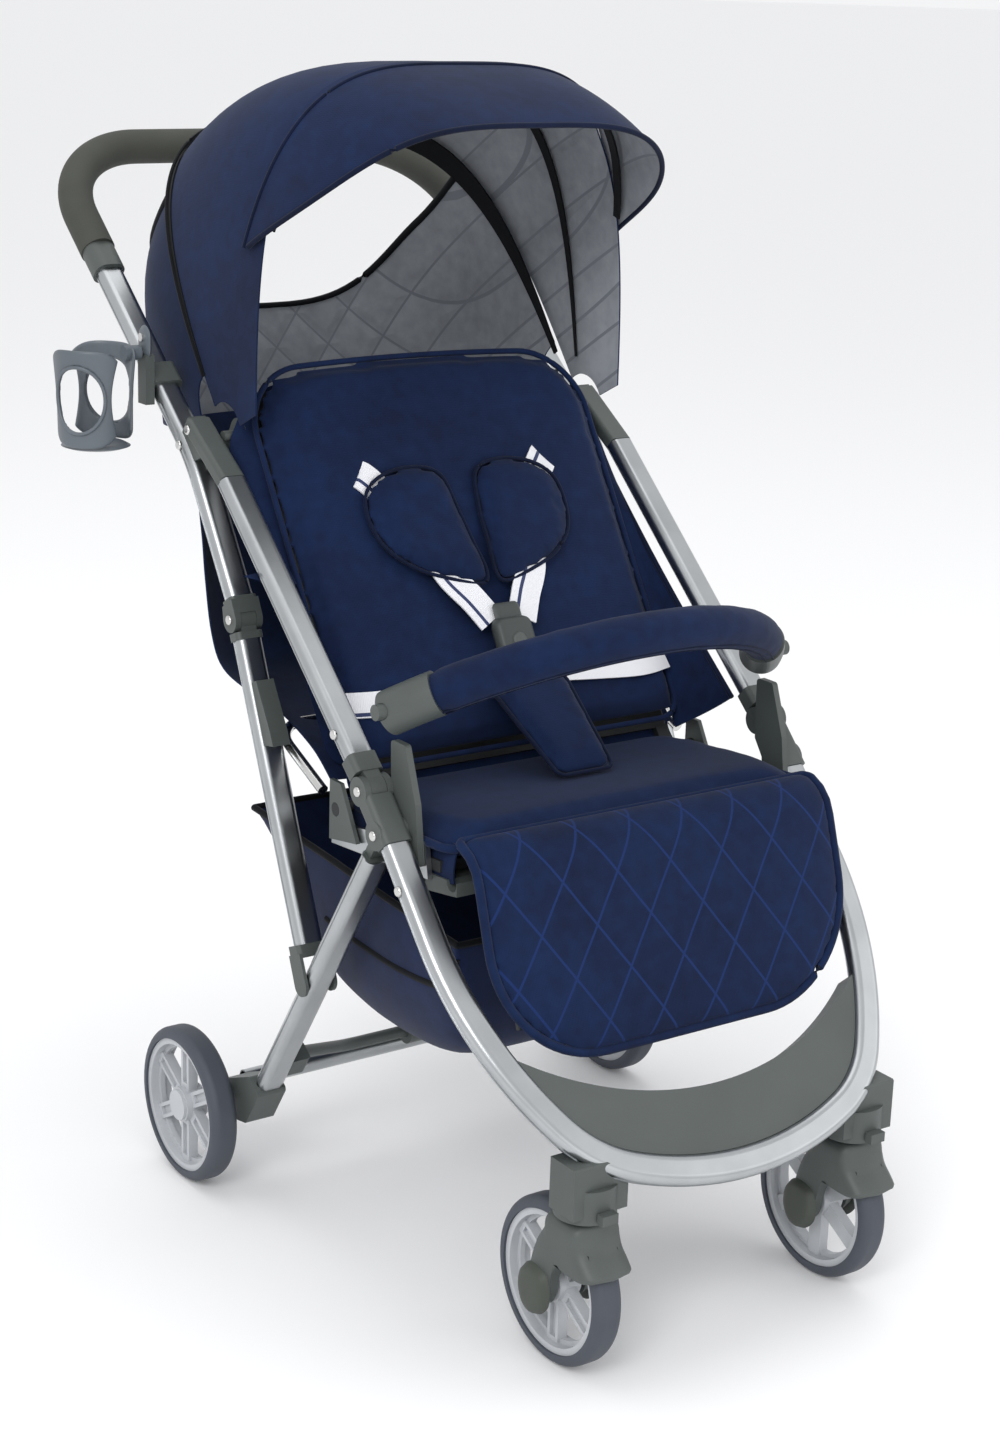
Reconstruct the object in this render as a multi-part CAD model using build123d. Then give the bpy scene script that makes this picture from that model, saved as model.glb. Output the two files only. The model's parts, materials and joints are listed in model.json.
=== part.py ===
from build123d import *
import os
from math import atan2, cos, degrees, radians, sin, sqrt

# Folding baby stroller. Millimetres, +Z up, the front faces -Y, the floor is Z = 0 and X = 0 is the
# plane of symmetry of the frame. Points in the side view are (y, z) pairs.

# ---- driving dimensions ----
side_x = 219.5            # middle of the side tubes from the plane of symmetry
tube_width = 26.0         # oblong tube, across X
tube_depth = 17.0
tube_round = 7.0
tube_wall = 1.6
groove_width = 4.5        # line groove along the outer side of each tube
groove_depth = 0.7
gap = 0.4                 # clearance between pieces that move

knee = (-47.3, 466.4)             # pivot between front loop and upper frame
rear_leg_pivot = (-73.3, 434.6)
recline_pivot = (37.4, 421.0)
top_pivot = (258.6, 726.5)        # upper tube to handle tube
strut_pivot = (177.5, 565.8)
strut_foot = (41.9, 257.5)        # strut to rear leg
canopy_pivot = (240.0, 721.6)

loop_top = (-86.0, 427.0)         # front loop: centre of the tube where it leaves the knee housing
loop_slope = 48.2                 # fall of the plane of the loop, degrees
loop_straight = 90.0
loop_side_radius = 343.0
loop_side_turn = 31.8
loop_corner_radius = 115.0
loop_corner_turn = 36.2

upper_slope = 41.6
upper_tube_length = 300.0
handle_slope = 39.5
handle_bend_point = (262.0, 699.6)
handle_bend_radius = 190.0
handle_lower_end = (184.5, 583.0)
handle_reach = 232.0              # straight run of the handle above the bend point, to the grip collar
grip_reach = 170.0                # from the collar to the crossbar of the handle
grip_corner_radius = 95.0
grip_diameter = 34.0
collar_length = 30.0

leg_foot = (139.3, 104.1)
rear_axle = (220.0, 76.0)
rear_wheel_radius = 76.0
rear_wheel_x = 254.0
front_axle = (-246.0, 74.4)
front_wheel_radius = 74.4
front_wheel_x = 148.0
caster_y = -277.5
caster_seam_z = 151.5
wheel_width = 27.0
tyre_depth = 10.5
tyre_shoulder = 8.0
rim_width = 22.0
hub_radius = 17.0
spokes = 6
axle_radius = 4.0

fork_wall = 11.0
wheel_clearance = 4.0

seat_front = (-138.0, 446.0)
seat_thickness = 26.0
seat_half_width = 186.0
back_length = 415.0
back_slope = 57.8
back_thickness = 26.0
back_half_width = 176.0
hoop_slope = 23.0                 # rod behind the backrest, on the recline plates
hoop_reach = 122.0
hoop_rod = 10.0
hoop_corner = 30.0
legrest_length = 165.0
legrest_slope = 72.0
legrest_thickness = 20.0
legrest_half_width = 192.0

canopy_half_width = 208.0
canopy_radius = 340.0
canopy_power = 3.5
canopy_skin = 2.4
canopy_step = 5.0                 # nesting step from one canopy panel to the next
canopy_overlap = 1.5              # lap of one panel under the next, degrees
canopy_back_angle = -6.0          # angles from +Y, up is 90
zip_angle = 53.0
front_bow_angle = 102.0
visor_angle = 124.0
visor_flare = 10.0                # the visor's front edge stands this much further out

bumper_end = (-50.0, 533.0)
bumper_slope = 34.0
bumper_sagitta = 124.0
bumper_diameter = 38.0
bumper_half_width = 205.0

SIDES = (("left", -1), ("right", 1))
os.makedirs("parts", exist_ok=True)


# ---- helpers ----
def save(name, *solids):
    """Write one sub-part, made of one or more separate solids."""
    flat = [solid for shape in solids for solid in shape.solids()]
    export_step(Compound(children=flat) if len(flat) > 1 else flat[0], f"parts/{name}.step")


def along(point, slope, distance, rise=0.0):
    """The point at a distance along a slope in the side view, then square to it by rise."""
    angle = radians(slope)
    return (
        point[0] + distance * cos(angle) - rise * sin(angle),
        point[1] + distance * sin(angle) + rise * cos(angle),
    )


def slope_of(a, b):
    return degrees(atan2(b[1] - a[1], b[0] - a[0]))


def span(a, b):
    return sqrt((b[0] - a[0]) ** 2 + (b[1] - a[1]) ** 2)


def lengthwise(x, point, slope):
    """Plane at a point of the side view whose normal points along the slope and whose x is X."""
    angle = radians(slope)
    return Plane(origin=(x, point[0], point[1]), x_dir=(1, 0, 0), z_dir=(0, cos(angle), sin(angle)))


def tube_section(side, hollow=True):
    """Oblong tube section, with its groove on the outer side."""
    outline = RectangleRounded(tube_width, tube_depth, tube_round)
    if hollow:
        inner_round = tube_round - tube_wall
        outline -= RectangleRounded(tube_width - 2 * tube_wall, tube_depth - 2 * tube_wall, inner_round)
        if side:
            place = Pos(side * (tube_width / 2 - groove_depth / 2), 0)
            outline -= place * Rectangle(groove_depth, groove_width)
    return outline


def straight_tube(side, start, end, hollow=True):
    slope = slope_of(start, end)
    plane = lengthwise(side * side_x, start, slope)
    return extrude(plane * tube_section(side, hollow), amount=span(start, end))


def slab(points, x_low, x_high):
    """Outline in the side view, extruded across X."""
    face = make_face(Polyline(*[(0, y, z) for y, z in points], close=True))
    return Pos(x_low, 0, 0) * extrude(face, amount=x_high - x_low, dir=(1, 0, 0))


def disc(point, radius, x_low, x_high):
    plane = Plane(origin=(x_low, point[0], point[1]), x_dir=(0, 1, 0), z_dir=(1, 0, 0))
    return extrude(plane * Circle(radius), amount=x_high - x_low)


def across(side, inner, outer):
    """Low and high X of a span given by its distances from the plane of symmetry."""
    return (inner, outer) if side > 0 else (-outer, -inner)


def block(x, point, slope, width, depth, length, round_edge=0.0):
    """Rounded bar along a slope, centred on the point at its start."""
    plane = lengthwise(x, point, slope)
    outline = RectangleRounded(width, depth, round_edge) if round_edge else Rectangle(width, depth)
    return extrude(plane * outline, amount=length)


def rivet(side, point, outer, head=4.6, height=2.4):
    """Domed rivet head standing on an outer side face."""
    low, high = across(side, outer, outer + height)
    body = disc(point, head, low, high)
    face = body.faces().sort_by(Axis.X)[-1 if side > 0 else 0]
    return fillet(face.edges(), height * 0.8)


def ring_solid(profile, centre, x):
    """Turn a profile, drawn in the XZ plane about X, and place it on an axle."""
    solid = revolve(Plane.XZ * profile, axis=Axis.X)
    return Pos(x, centre[0], centre[1]) * solid


# ---- front loop ----
loop_plane = Plane(
    origin=(0, loop_top[0], loop_top[1]),
    x_dir=(1, 0, 0),
    z_dir=(0, -sin(radians(loop_slope)), cos(radians(loop_slope))),
)


def loop_path():
    """Half of the loop from the knee to the middle of the front, in the plane of the loop."""
    a1 = loop_side_turn
    a2 = loop_side_turn + loop_corner_turn
    p0 = (side_x, 0)
    p1 = (side_x, -loop_straight)
    c1 = (side_x - loop_side_radius, -loop_straight)
    p2 = (c1[0] + loop_side_radius * cos(radians(a1)), c1[1] - loop_side_radius * sin(radians(a1)))
    c2 = (p2[0] - loop_corner_radius * cos(radians(a1)), p2[1] + loop_corner_radius * sin(radians(a1)))
    p3 = (c2[0] + loop_corner_radius * cos(radians(a2)), c2[1] - loop_corner_radius * sin(radians(a2)))
    front_radius = p3[0] / cos(radians(a2))
    c3 = (0, p3[1] + front_radius * sin(radians(a2)))
    p4 = (0, c3[1] - front_radius)
    right = Line(p0, p1)
    right += CenterArc(c1, loop_side_radius, 0, -a1)
    right += CenterArc(c2, loop_corner_radius, -a1, -loop_corner_turn)
    front = CenterArc(c3, front_radius, -a2, -2 * (90 - a2))
    left = mirror(right, about=Plane.YZ)
    return right + front + left, p4


loop_wire, loop_front_point = loop_path()
loop_edges = loop_plane * loop_wire
loop_section_plane = Plane(
    origin=loop_plane.from_local_coords((side_x, 0, 0)), x_dir=(1, 0, 0), z_dir=-loop_plane.y_dir
)
loop_tube = sweep(loop_section_plane * tube_section(1), path=loop_edges)
loop_solid = sweep(loop_section_plane * tube_section(1, hollow=False), path=loop_edges)
save("front_loop_tube", loop_tube)

# ---- knee housings ----
housing_width = tube_width + 2.0
housing_depth = tube_depth + 3.0
housing_round = 5.0
cheek = 6.0                       # wall of the housing beside the moving tongues
housing_slope = slope_of(loop_top, knee)
knee_ear = 13.0
lower_length = span(loop_top, knee)
slot_low = side_x - housing_width / 2 + cheek
slot_high = side_x + housing_width / 2 - cheek
leg_slope = slope_of(rear_leg_pivot, leg_foot)
tongue_radius = 8.5
lower_housings = []
upper_housings = []
for name, side in SIDES:
    low, high = across(side, side_x - housing_width / 2, side_x + housing_width / 2)
    in_low, in_high = across(side, slot_low, slot_high)
    x = side * side_x
    body = block(x, loop_top, housing_slope, housing_width, housing_depth, lower_length, housing_round)
    body += disc(knee, knee_ear, low, high)
    body += disc(rear_leg_pivot, knee_ear, low, high)
    body -= disc(knee, knee_ear + gap, in_low, in_high)
    body -= disc(rear_leg_pivot, tongue_radius + 1.5, in_low, in_high)
    rear_opening = [
        along(rear_leg_pivot, housing_slope, tongue_radius + 1.5),
        along(rear_leg_pivot, housing_slope, tongue_radius + 1.5, -40),
        along(rear_leg_pivot, housing_slope, -40, -40),
        along(rear_leg_pivot, housing_slope, -40, 0),
    ]
    body -= slab(rear_opening, in_low, in_high)
    lower_housings.append(body - loop_solid)
    start = along(knee, upper_slope, knee_ear + gap)
    shell_start = along(start, upper_slope, 0, 2.0)
    upper = block(side * side_x, shell_start, upper_slope, housing_width, housing_depth, 18.0, housing_round)
    upper += disc(knee, knee_ear - gap, in_low + gap, in_high - gap)
    tongue = [
        along(knee, upper_slope, 0, knee_ear - gap - 0.5),
        along(knee, upper_slope, 0, -(knee_ear - gap - 4.0)),
        along(knee, upper_slope, 20, -(knee_ear - gap - 4.0)),
        along(knee, upper_slope, 20, knee_ear - gap - 2.0),
    ]
    upper += slab(tongue, in_low + gap, in_high - gap)
    upper_housings.append(upper)
save("knee_housings_lower", *lower_housings)
save("knee_housings_upper", *upper_housings)

# ---- upper tubes, handle and clevises ----
upper_start = along(along(knee, upper_slope, knee_ear + gap + 18.0), upper_slope, 0, 2.0)
upper_end = along(upper_start, upper_slope, upper_tube_length)
handle_top = along(handle_bend_point, handle_slope, handle_reach)
clevis_cover = 7.0                # cap of the clevis past the pivot


def handle_side(side, hollow):
    """One side of the handle tube, from the strut hinge up to the grip."""
    x = side * side_x
    points = [(x, *handle_lower_end), (x, *handle_bend_point), (x, *handle_top)]
    path = FilletPolyline(*points, radius=handle_bend_radius)
    start = lengthwise(x, handle_lower_end, slope_of(handle_lower_end, handle_bend_point))
    return sweep(start * tube_section(side, hollow), path=path)


handle_sides = [handle_side(side, True) for name, side in SIDES]
handle_solids = [handle_side(side, False) for name, side in SIDES]
save("handle_tube", *handle_sides)
clevis_bodies = []
for (name, side), handle_solid in zip(SIDES, handle_solids):
    cap_slope = slope_of(upper_end, top_pivot)
    cap_length = span(upper_end, top_pivot) + clevis_cover
    cap = block(side * side_x, upper_end, cap_slope, tube_width - 1, tube_depth - 1, cap_length, 5.0)
    web = [
        along(top_pivot, handle_slope, 12, 4),
        along(top_pivot, handle_slope, -34, 4),
        along(top_pivot, handle_slope, -20, -22),
        along(top_pivot, handle_slope, 10, -22),
    ]
    clevis = cap + slab(web, *across(side, side_x - 9, side_x + 9))
    upper_solid = straight_tube(side, upper_start, upper_end, False)
    clevis_bodies.append(clevis - handle_solid - upper_solid)
save("upper_tubes", *[straight_tube(side, upper_start, upper_end) for name, side in SIDES])
save("top_clevises", *clevis_bodies)

grip_plane = Plane(
    origin=(0, handle_top[0], handle_top[1]),
    x_dir=(1, 0, 0),
    z_dir=(0, -sin(radians(handle_slope)), cos(radians(handle_slope))),
)
grip_path = FilletPolyline(
    (-side_x, collar_length),
    (-side_x, grip_reach),
    (side_x, grip_reach),
    (side_x, collar_length),
    radius=grip_corner_radius,
)
grip_start = Plane(
    origin=grip_plane.from_local_coords((-side_x, collar_length, 0)), x_dir=(1, 0, 0), z_dir=grip_plane.y_dir
)
save("handle_grip", sweep(grip_start * Circle(grip_diameter / 2), path=grip_plane * grip_path))
collars = []
for name, side in SIDES:
    x = side * side_x
    collar = block(x, handle_top, handle_slope, tube_width + 5, tube_depth + 9, collar_length, 11.0)
    collars.append(collar)
save("grip_collars", *collars)

# ---- strut between the handle and the rear leg ----
strut_slope = slope_of(strut_foot, strut_pivot)
strut_top = along(strut_pivot, strut_slope, -20)
strut_bottom = along(strut_foot, strut_slope, 36)
strut_ear = 12.0
strut_ear_wall = 3.0
knuckles = []
strut_hinges = []
strut_caps = []
catches = []
handle_foot_slope = slope_of(handle_lower_end, handle_bend_point)
for name, side in SIDES:
    low, high = across(side, side_x - housing_width / 2, side_x + housing_width / 2)
    in_low, in_high = across(side, slot_low, slot_high)
    x = side * side_x
    collar_start = along(handle_lower_end, handle_foot_slope, -3)
    knuckle = block(x, collar_start, handle_foot_slope, housing_width, housing_depth, 3, housing_round)
    knuckle += slab(
        [
            along(strut_pivot, strut_slope, 0, strut_ear),
            along(handle_lower_end, handle_foot_slope, -3, housing_depth / 2),
            along(handle_lower_end, handle_foot_slope, -3, -housing_depth / 2),
            along(strut_pivot, strut_slope, 0, -strut_ear),
        ],
        low,
        high,
    )
    knuckle += disc(strut_pivot, strut_ear, low, high)
    knuckle -= disc(strut_pivot, strut_ear + gap, in_low, in_high)
    knuckles.append(knuckle)
    lower_block = 20 - strut_ear - 2 * gap
    lower = block(x, strut_top, strut_slope, housing_width, housing_depth - 2, lower_block, housing_round)
    lower += disc(strut_pivot, strut_ear - gap, in_low + gap, in_high - gap)
    lower += slab(
        [
            along(strut_top, strut_slope, 4, 8),
            along(strut_pivot, strut_slope, -6, 8),
            along(strut_pivot, strut_slope, -6, -8),
            along(strut_top, strut_slope, 4, -8),
        ],
        in_low + gap,
        in_high - gap,
    )
    strut_hinges.append(lower)
    cap_start = along(strut_bottom, strut_slope, -12)
    cap = block(x, cap_start, strut_slope, tube_width + 7, tube_depth + 3, 12, 4.0)
    for inner in (side_x - tube_width / 2 - gap - strut_ear_wall, side_x + tube_width / 2 + gap):
        cheek_low, cheek_high = across(side, inner, inner + strut_ear_wall)
        cap += disc(strut_foot, 10.5, cheek_low, cheek_high)
        cap += slab(
            [
                along(strut_foot, strut_slope, 0, 10.4),
                along(strut_foot, strut_slope, 0, -10.4),
                along(strut_foot, strut_slope, 28, -10),
                along(strut_foot, strut_slope, 28, 10),
            ],
            cheek_low,
            cheek_high,
        )
    strut_caps.append(cap)
    catch_place = along(strut_pivot, strut_slope, -118, tube_depth / 2)
    catch_end = along(strut_pivot, strut_slope, -60, tube_depth / 2)
    catch = slab(
        [
            catch_place,
            along(catch_end, strut_slope, 0, 0),
            along(catch_end, strut_slope, 0, 9),
            along(catch_place, strut_slope, 8, 16),
            along(catch_place, strut_slope, -4, 16),
        ],
        *across(side, side_x - 9, side_x + 9),
    )
    catches.append(catch)
save("strut_tubes", *[straight_tube(side, strut_bottom, strut_top) for name, side in SIDES])
save("strut_knuckles", *knuckles)
save("strut_hinges", *strut_hinges, *strut_caps)
save("strut_catches", *catches)

# ---- rear legs ----
leg_start = along(rear_leg_pivot, leg_slope, 30)
wheel_housings = []
leg_tongues = []
housing_outer = 236.0
hub_end = rear_wheel_x + wheel_width / 2 - 5
for name, side in SIDES:
    in_low, in_high = across(side, slot_low, slot_high)
    tongue = disc(rear_leg_pivot, tongue_radius, in_low + gap, in_high - gap)
    tongue += slab(
        [
            along(rear_leg_pivot, leg_slope, 0, tongue_radius - 0.5),
            along(rear_leg_pivot, leg_slope, 0, -1.5),
            along(rear_leg_pivot, leg_slope, 30, -1.5),
            along(rear_leg_pivot, leg_slope, 30, tongue_radius - 0.5),
        ],
        in_low + gap,
        in_high - gap,
    )
    plug = extrude(
        lengthwise(side * side_x, leg_start, leg_slope)
        * RectangleRounded(tube_width - 2 * tube_wall - 0.2, tube_depth - 2 * tube_wall - 0.2, 5.2),
        amount=14,
    )
    leg_tongues.append(tongue + plug)
    low, high = across(side, 206.0, housing_outer)
    shape = slab(
        [
            along(leg_foot, leg_slope, -26, -11),
            along(leg_foot, leg_slope, 20, -11),
            (rear_axle[0] - 30, rear_axle[1] - 4),
            (rear_axle[0], rear_axle[1] - 15),
            (rear_axle[0] + 15, rear_axle[1]),
            (rear_axle[0], rear_axle[1] + 15),
            (rear_axle[0] - 34, rear_axle[1] + 34),
            along(leg_foot, leg_slope, -26, 11),
        ],
        low,
        high,
    )
    shape = fillet(shape.edges().filter_by(Axis.X), 4.0)
    shape -= straight_tube(side, leg_start, leg_foot, hollow=False)
    stub_low, stub_high = across(side, housing_outer - 1, hub_end)
    shape += disc(rear_axle, axle_radius, stub_low, stub_high)
    shape += disc(rear_axle, 11.0, *across(side, housing_outer - 1, rear_wheel_x - wheel_width / 2 + 1.5))
    wheel_housings.append(shape)
save("rear_legs", *[straight_tube(side, leg_start, leg_foot) for name, side in SIDES])
save("leg_tongues", *leg_tongues)
save("wheel_housings", *wheel_housings)
cross_place = (rear_axle[0] - 22, rear_axle[1] + 22)
cross_tube = disc(cross_place, 9.0, -206.0, 206.0) - disc(cross_place, 7.6, -206.5, 206.5)
save("rear_cross_tube", cross_tube)

# ---- brake: arched bar, centre housing and foot pedal ----
brake_pivot = (cross_place[0] - 32, cross_place[1] + 26)
bar_foot = along(leg_foot, leg_slope, -50, tube_depth / 2 + 2)
bar_points = [
    (-190.0, bar_foot[0], bar_foot[1]),
    (-110.0, *brake_pivot),
    (110.0, *brake_pivot),
    (190.0, bar_foot[0], bar_foot[1]),
]
bar_path = FilletPolyline(*bar_points, radius=60)
bar_plane = Plane(origin=bar_points[0], z_dir=Vector(*bar_points[1]) - Vector(*bar_points[0]))
brake_bar = sweep(bar_plane * Circle(6), path=bar_path)
clamp_place = along(leg_foot, leg_slope, -62, 5)
bar_clamps = [block(side * 205.0, clamp_place, leg_slope, 34.0, 21.0, 22.0, 4.0) for name, side in SIDES]
leg_solids = [straight_tube(side, leg_start, leg_foot, hollow=False) for name, side in SIDES]
save("brake_bar", brake_bar + (bar_clamps[0] - leg_solids[0]) + (bar_clamps[1] - leg_solids[1]))
pedal_half = 42.0
pedal_reach = 46.0
pedal = disc(brake_pivot, 13.0, -pedal_half, pedal_half)
pedal += slab(
    [
        (brake_pivot[0], brake_pivot[1] + 12.5),
        (brake_pivot[0] + pedal_reach, brake_pivot[1] + 20),
        (brake_pivot[0] + pedal_reach, brake_pivot[1] + 14),
        (brake_pivot[0], brake_pivot[1] + 5),
    ],
    -pedal_half,
    pedal_half,
)
pedal -= sweep(bar_plane * Circle(6 + gap), path=bar_path)
save("brake_pedal", pedal)


# ---- wheels ----
def rim(radius, cover_side):
    """Rim with paired-rib spokes, about the X axis through the origin."""
    outer = radius - tyre_depth
    inner = outer - 6
    half = rim_width / 2
    ring = Pos(0, (outer + inner) / 2) * Rectangle(rim_width, outer - inner)
    shell = revolve(Plane.XZ * ring, axis=Axis.X)
    lip = Pos(0, inner - 1.5) * Rectangle(5, 5)
    shell += revolve(Plane.XZ * lip, axis=Axis.X)
    shell += disc((0, 0), hub_radius, -half, half)
    for index in range(spokes):
        spoke = Pos(0, 0, (hub_radius + inner) / 2 - 1) * Box(10, 15, inner - hub_radius + 4)
        pocket = Pos(cover_side * 3.4, 0, (hub_radius + inner) / 2) * Box(4, 8, inner - hub_radius - 9)
        shell += Rot(index * 360 / spokes, 0, 0) * (spoke - pocket)
    return shell


def tyre(radius):
    profile = Pos(0, radius - tyre_depth / 2) * Rectangle(wheel_width, tyre_depth)
    profile = fillet(profile.vertices().group_by(Axis.Y)[-1], tyre_shoulder)
    return revolve(Plane.XZ * profile, axis=Axis.X)


hub_cap_height = 3.0
for name, side in SIDES:
    bore = disc((0, 0), axle_radius + 0.08, -wheel_width, wheel_width)
    rear = rim(rear_wheel_radius, side) - bore
    cap_low, cap_high = across(side, rim_width / 2, rim_width / 2 + hub_cap_height)
    cover = disc((0, 0), hub_radius - 2, cap_low, cap_high)
    save(f"rear_rim_{name}", Pos(side * rear_wheel_x, *rear_axle) * (rear + cover))
    save(f"rear_tyre_{name}", Pos(side * rear_wheel_x, *rear_axle) * tyre(rear_wheel_radius))
    save(f"front_rim_{name}", Pos(side * front_wheel_x, *front_axle) * (rim(front_wheel_radius, side) - bore))
    save(f"front_tyre_{name}", Pos(side * front_wheel_x, *front_axle) * tyre(front_wheel_radius))

# ---- casters ----
fork_inner = wheel_width / 2 + 1.5
fork_outer = fork_inner + fork_wall
stem_radius = 24.0
brackets = []
for name, side in SIDES:
    x = side * front_wheel_x
    profile = make_face(
        Polyline(
            (caster_y - stem_radius - 4, caster_seam_z - gap),
            (caster_y - stem_radius - 20, caster_seam_z - 26),
            (caster_y - stem_radius - 16, caster_seam_z - 44),
            (front_axle[0] - 20, front_axle[1] - 6),
            (front_axle[0] - 8, front_axle[1] - 19),
            (front_axle[0] + 8, front_axle[1] - 19),
            (front_axle[0] + 20, front_axle[1] - 6),
            (front_axle[0] + 20, front_axle[1] + 10),
            (caster_y + stem_radius, caster_seam_z - 12),
            (caster_y + stem_radius - 2, caster_seam_z - gap),
            close=True,
        )
    )
    plane = Plane(origin=(x - fork_outer, 0, 0), x_dir=(0, 1, 0), z_dir=(1, 0, 0))
    fork = extrude(plane * profile, amount=2 * fork_outer)
    fork = fillet(fork.edges().filter_by(Axis.X), 5.0)
    reach = front_wheel_radius + wheel_clearance
    fork -= disc(front_axle, reach, x - fork_inner, x + fork_inner)
    below = Pos(x, front_axle[0], front_axle[1] - 30) * Box(2 * fork_inner, 2 * reach - 20, 60)
    fork -= below
    fork -= Pos(x, front_axle[0] + reach / 2, front_axle[1] + 20) * Box(2 * fork_inner, reach, 100)
    fork += disc(front_axle, axle_radius, x - fork_inner - 1, x + fork_inner + 1)
    fork += disc(front_axle, 15.0, x - fork_outer - 4, x - fork_outer + 1)
    fork += disc(front_axle, 15.0, x + fork_outer - 1, x + fork_outer + 4)
    save(f"caster_fork_{name}", fork)
    bracket = Pos(x, caster_y, caster_seam_z) * Cylinder(
        stem_radius + 3, 30, align=(Align.CENTER, Align.CENTER, Align.MIN)
    )
    bracket += Pos(x, caster_y - 4, caster_seam_z + 6) * Box(
        2 * stem_radius + 8, 34, 46, align=(Align.CENTER, Align.CENTER, Align.MIN)
    )
    trim = loop_plane * (Pos(x, loop_front_point[1] / 2, tube_depth / 2 + 30) * Box(200, 600, 60))
    brackets.append((bracket - loop_solid - trim).solids().sort_by(SortBy.VOLUME)[-1])
    tab_depth = 8.0
    tab_y = caster_y - stem_radius - 3 - gap - tab_depth / 2
    save(f"swivel_tab_{name}", Pos(x, tab_y, caster_seam_z + 7) * Box(16, tab_depth, 9))
save("caster_brackets", *brackets)

# ---- footrest ----
foot_edge_drop = 205.0            # down the slope to the ends of the footrest
foot_edge_sag = 62.0
foot_chord = 186.0
foot_radius = (foot_chord**2 + foot_edge_sag**2) / (2 * foot_edge_sag)
foot_thickness = 7.0
inside = make_face(loop_wire + Line((-side_x, 0), (side_x, 0)))
inside = offset(inside, -tube_width / 2 - 0.1).faces().sort_by(SortBy.AREA)[-1]
foot_shape = inside - Pos(0, -foot_edge_drop - foot_edge_sag + foot_radius) * Circle(foot_radius)
plate = extrude(loop_plane * foot_shape, amount=foot_thickness / 2, both=True)
lip_face = inside & (
    Pos(0, -foot_edge_drop - foot_edge_sag + foot_radius) * (Circle(foot_radius + 5) - Circle(foot_radius))
)
plate += extrude(loop_plane * lip_face, amount=-20)
save("footrest_plate", plate.solids().sort_by(SortBy.VOLUME)[-1])

# ---- seat ----
rail_inner = 194.0
rail_wall = 5.0
rail_bolt_radius = 5.0
seat_slope = slope_of(recline_pivot, seat_front)
rail_front = along(rear_leg_pivot, housing_slope, -18)
rails = []
for name, side in SIDES:
    low, high = across(side, rail_inner, rail_inner + rail_wall)
    rail = slab(
        [
            (recline_pivot[0] + 14, recline_pivot[1] - 12),
            (recline_pivot[0] + 14, recline_pivot[1] - 36),
            (rail_front[0] - 20, rail_front[1] - 22),
            (rail_front[0] - 14, rail_front[1] + 10),
            (recline_pivot[0] - 16, recline_pivot[1] - 12),
        ],
        low,
        high,
    )
    bolt_low, bolt_high = across(side, rail_inner + rail_wall, side_x - housing_width / 2)
    bolt = disc(rail_front, rail_bolt_radius, bolt_low, bolt_high)
    rails.append(rail + bolt)
save("seat_rails", *rails)
board_points = [
    (recline_pivot[0] - 4, recline_pivot[1] - 26),
    (seat_front[0] + 22, seat_front[1] - seat_thickness - 12),
    (seat_front[0] + 22, seat_front[1] - seat_thickness - 2),
    (recline_pivot[0] - 4, recline_pivot[1] - 14),
]
save("seat_board", slab(board_points, -rail_inner + 0.5, rail_inner - 0.5))
pad_points = [
    (recline_pivot[0] - 20, recline_pivot[1] - 12),
    (seat_front[0], seat_front[1] - seat_thickness),
    seat_front,
    (recline_pivot[0] - 20, recline_pivot[1] + seat_thickness - 10),
]
seat_pad = slab(pad_points, -seat_half_width, seat_half_width)
save("seat_pad", fillet(seat_pad.edges().filter_by(Axis.X), 8.0))
crotch_place = (-58.0, 453.0)
crotch_slope = 32.0
crotch_length = 125.0
buckle_slope = 60.0
save("crotch_pad", block(0, crotch_place, crotch_slope, 64.0, 14.0, crotch_length, 6.0))
buckle_place = along(crotch_place, crotch_slope, crotch_length + 6)
save("buckle", block(0, buckle_place, buckle_slope, 40.0, 15.0, 46, 6.0))

# ---- basket ----
basket_half = 184.0
basket_wall = 3.0
basket_rim_back = (222.0, 366.0)
basket_rim_front = (-128.0, 344.0)
basket_outline = [
    basket_rim_front,
    (-118.0, 250.0),
    (-85.0, 212.0),
    (-40.0, 200.0),
    (50.0, 196.0),
    (115.0, 216.0),
    (172.0, 285.0),
    basket_rim_back,
]
basket_hollow = [
    (basket_rim_front[0] + basket_wall, basket_rim_front[1] + 20),
    (-118.0 + basket_wall, 250.0 + basket_wall),
    (-85.0 + basket_wall, 212.0 + basket_wall),
    (-40.0, 200.0 + basket_wall),
    (50.0, 196.0 + basket_wall),
    (115.0 - basket_wall, 216.0 + basket_wall),
    (172.0 - basket_wall, 285.0 + basket_wall),
    (basket_rim_back[0] - basket_wall, basket_rim_back[1] + 20),
]
basket = slab(basket_outline, -basket_half, basket_half)
basket -= slab(basket_hollow, -basket_half + basket_wall, basket_half - basket_wall)
save("basket", basket)

# ---- leg rest ----
legrest_pivot = (seat_front[0] + 4, seat_front[1] - seat_thickness - 16)
legrest_fall = 180 + legrest_slope
legrest_start = along(legrest_pivot, legrest_fall, 5)
board = block(0, legrest_start, legrest_fall, 300.0, 6.0, legrest_length - 36, 2.0)
hinge_tube = disc(legrest_pivot, 7.0, -150.0, 150.0)
save("legrest_board", board + hinge_tube)
legrest_top = along(legrest_pivot, legrest_fall, 12, -legrest_thickness / 2 - 3.4)
legrest_plane = lengthwise(0, legrest_top, legrest_fall)
pad_outline = Plane(origin=legrest_plane.origin, x_dir=(1, 0, 0), z_dir=legrest_plane.y_dir)
pad_shape = Pos(0, 0) * Rectangle(2 * legrest_half_width, legrest_length)
pad_face = fillet(pad_shape.vertices().group_by(Axis.Y)[0], 95.0)
down = pad_outline.y_dir.dot(legrest_plane.z_dir)
pad_middle = Pos(0, legrest_length / 2) if down > 0 else Pos(0, -legrest_length / 2)
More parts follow.
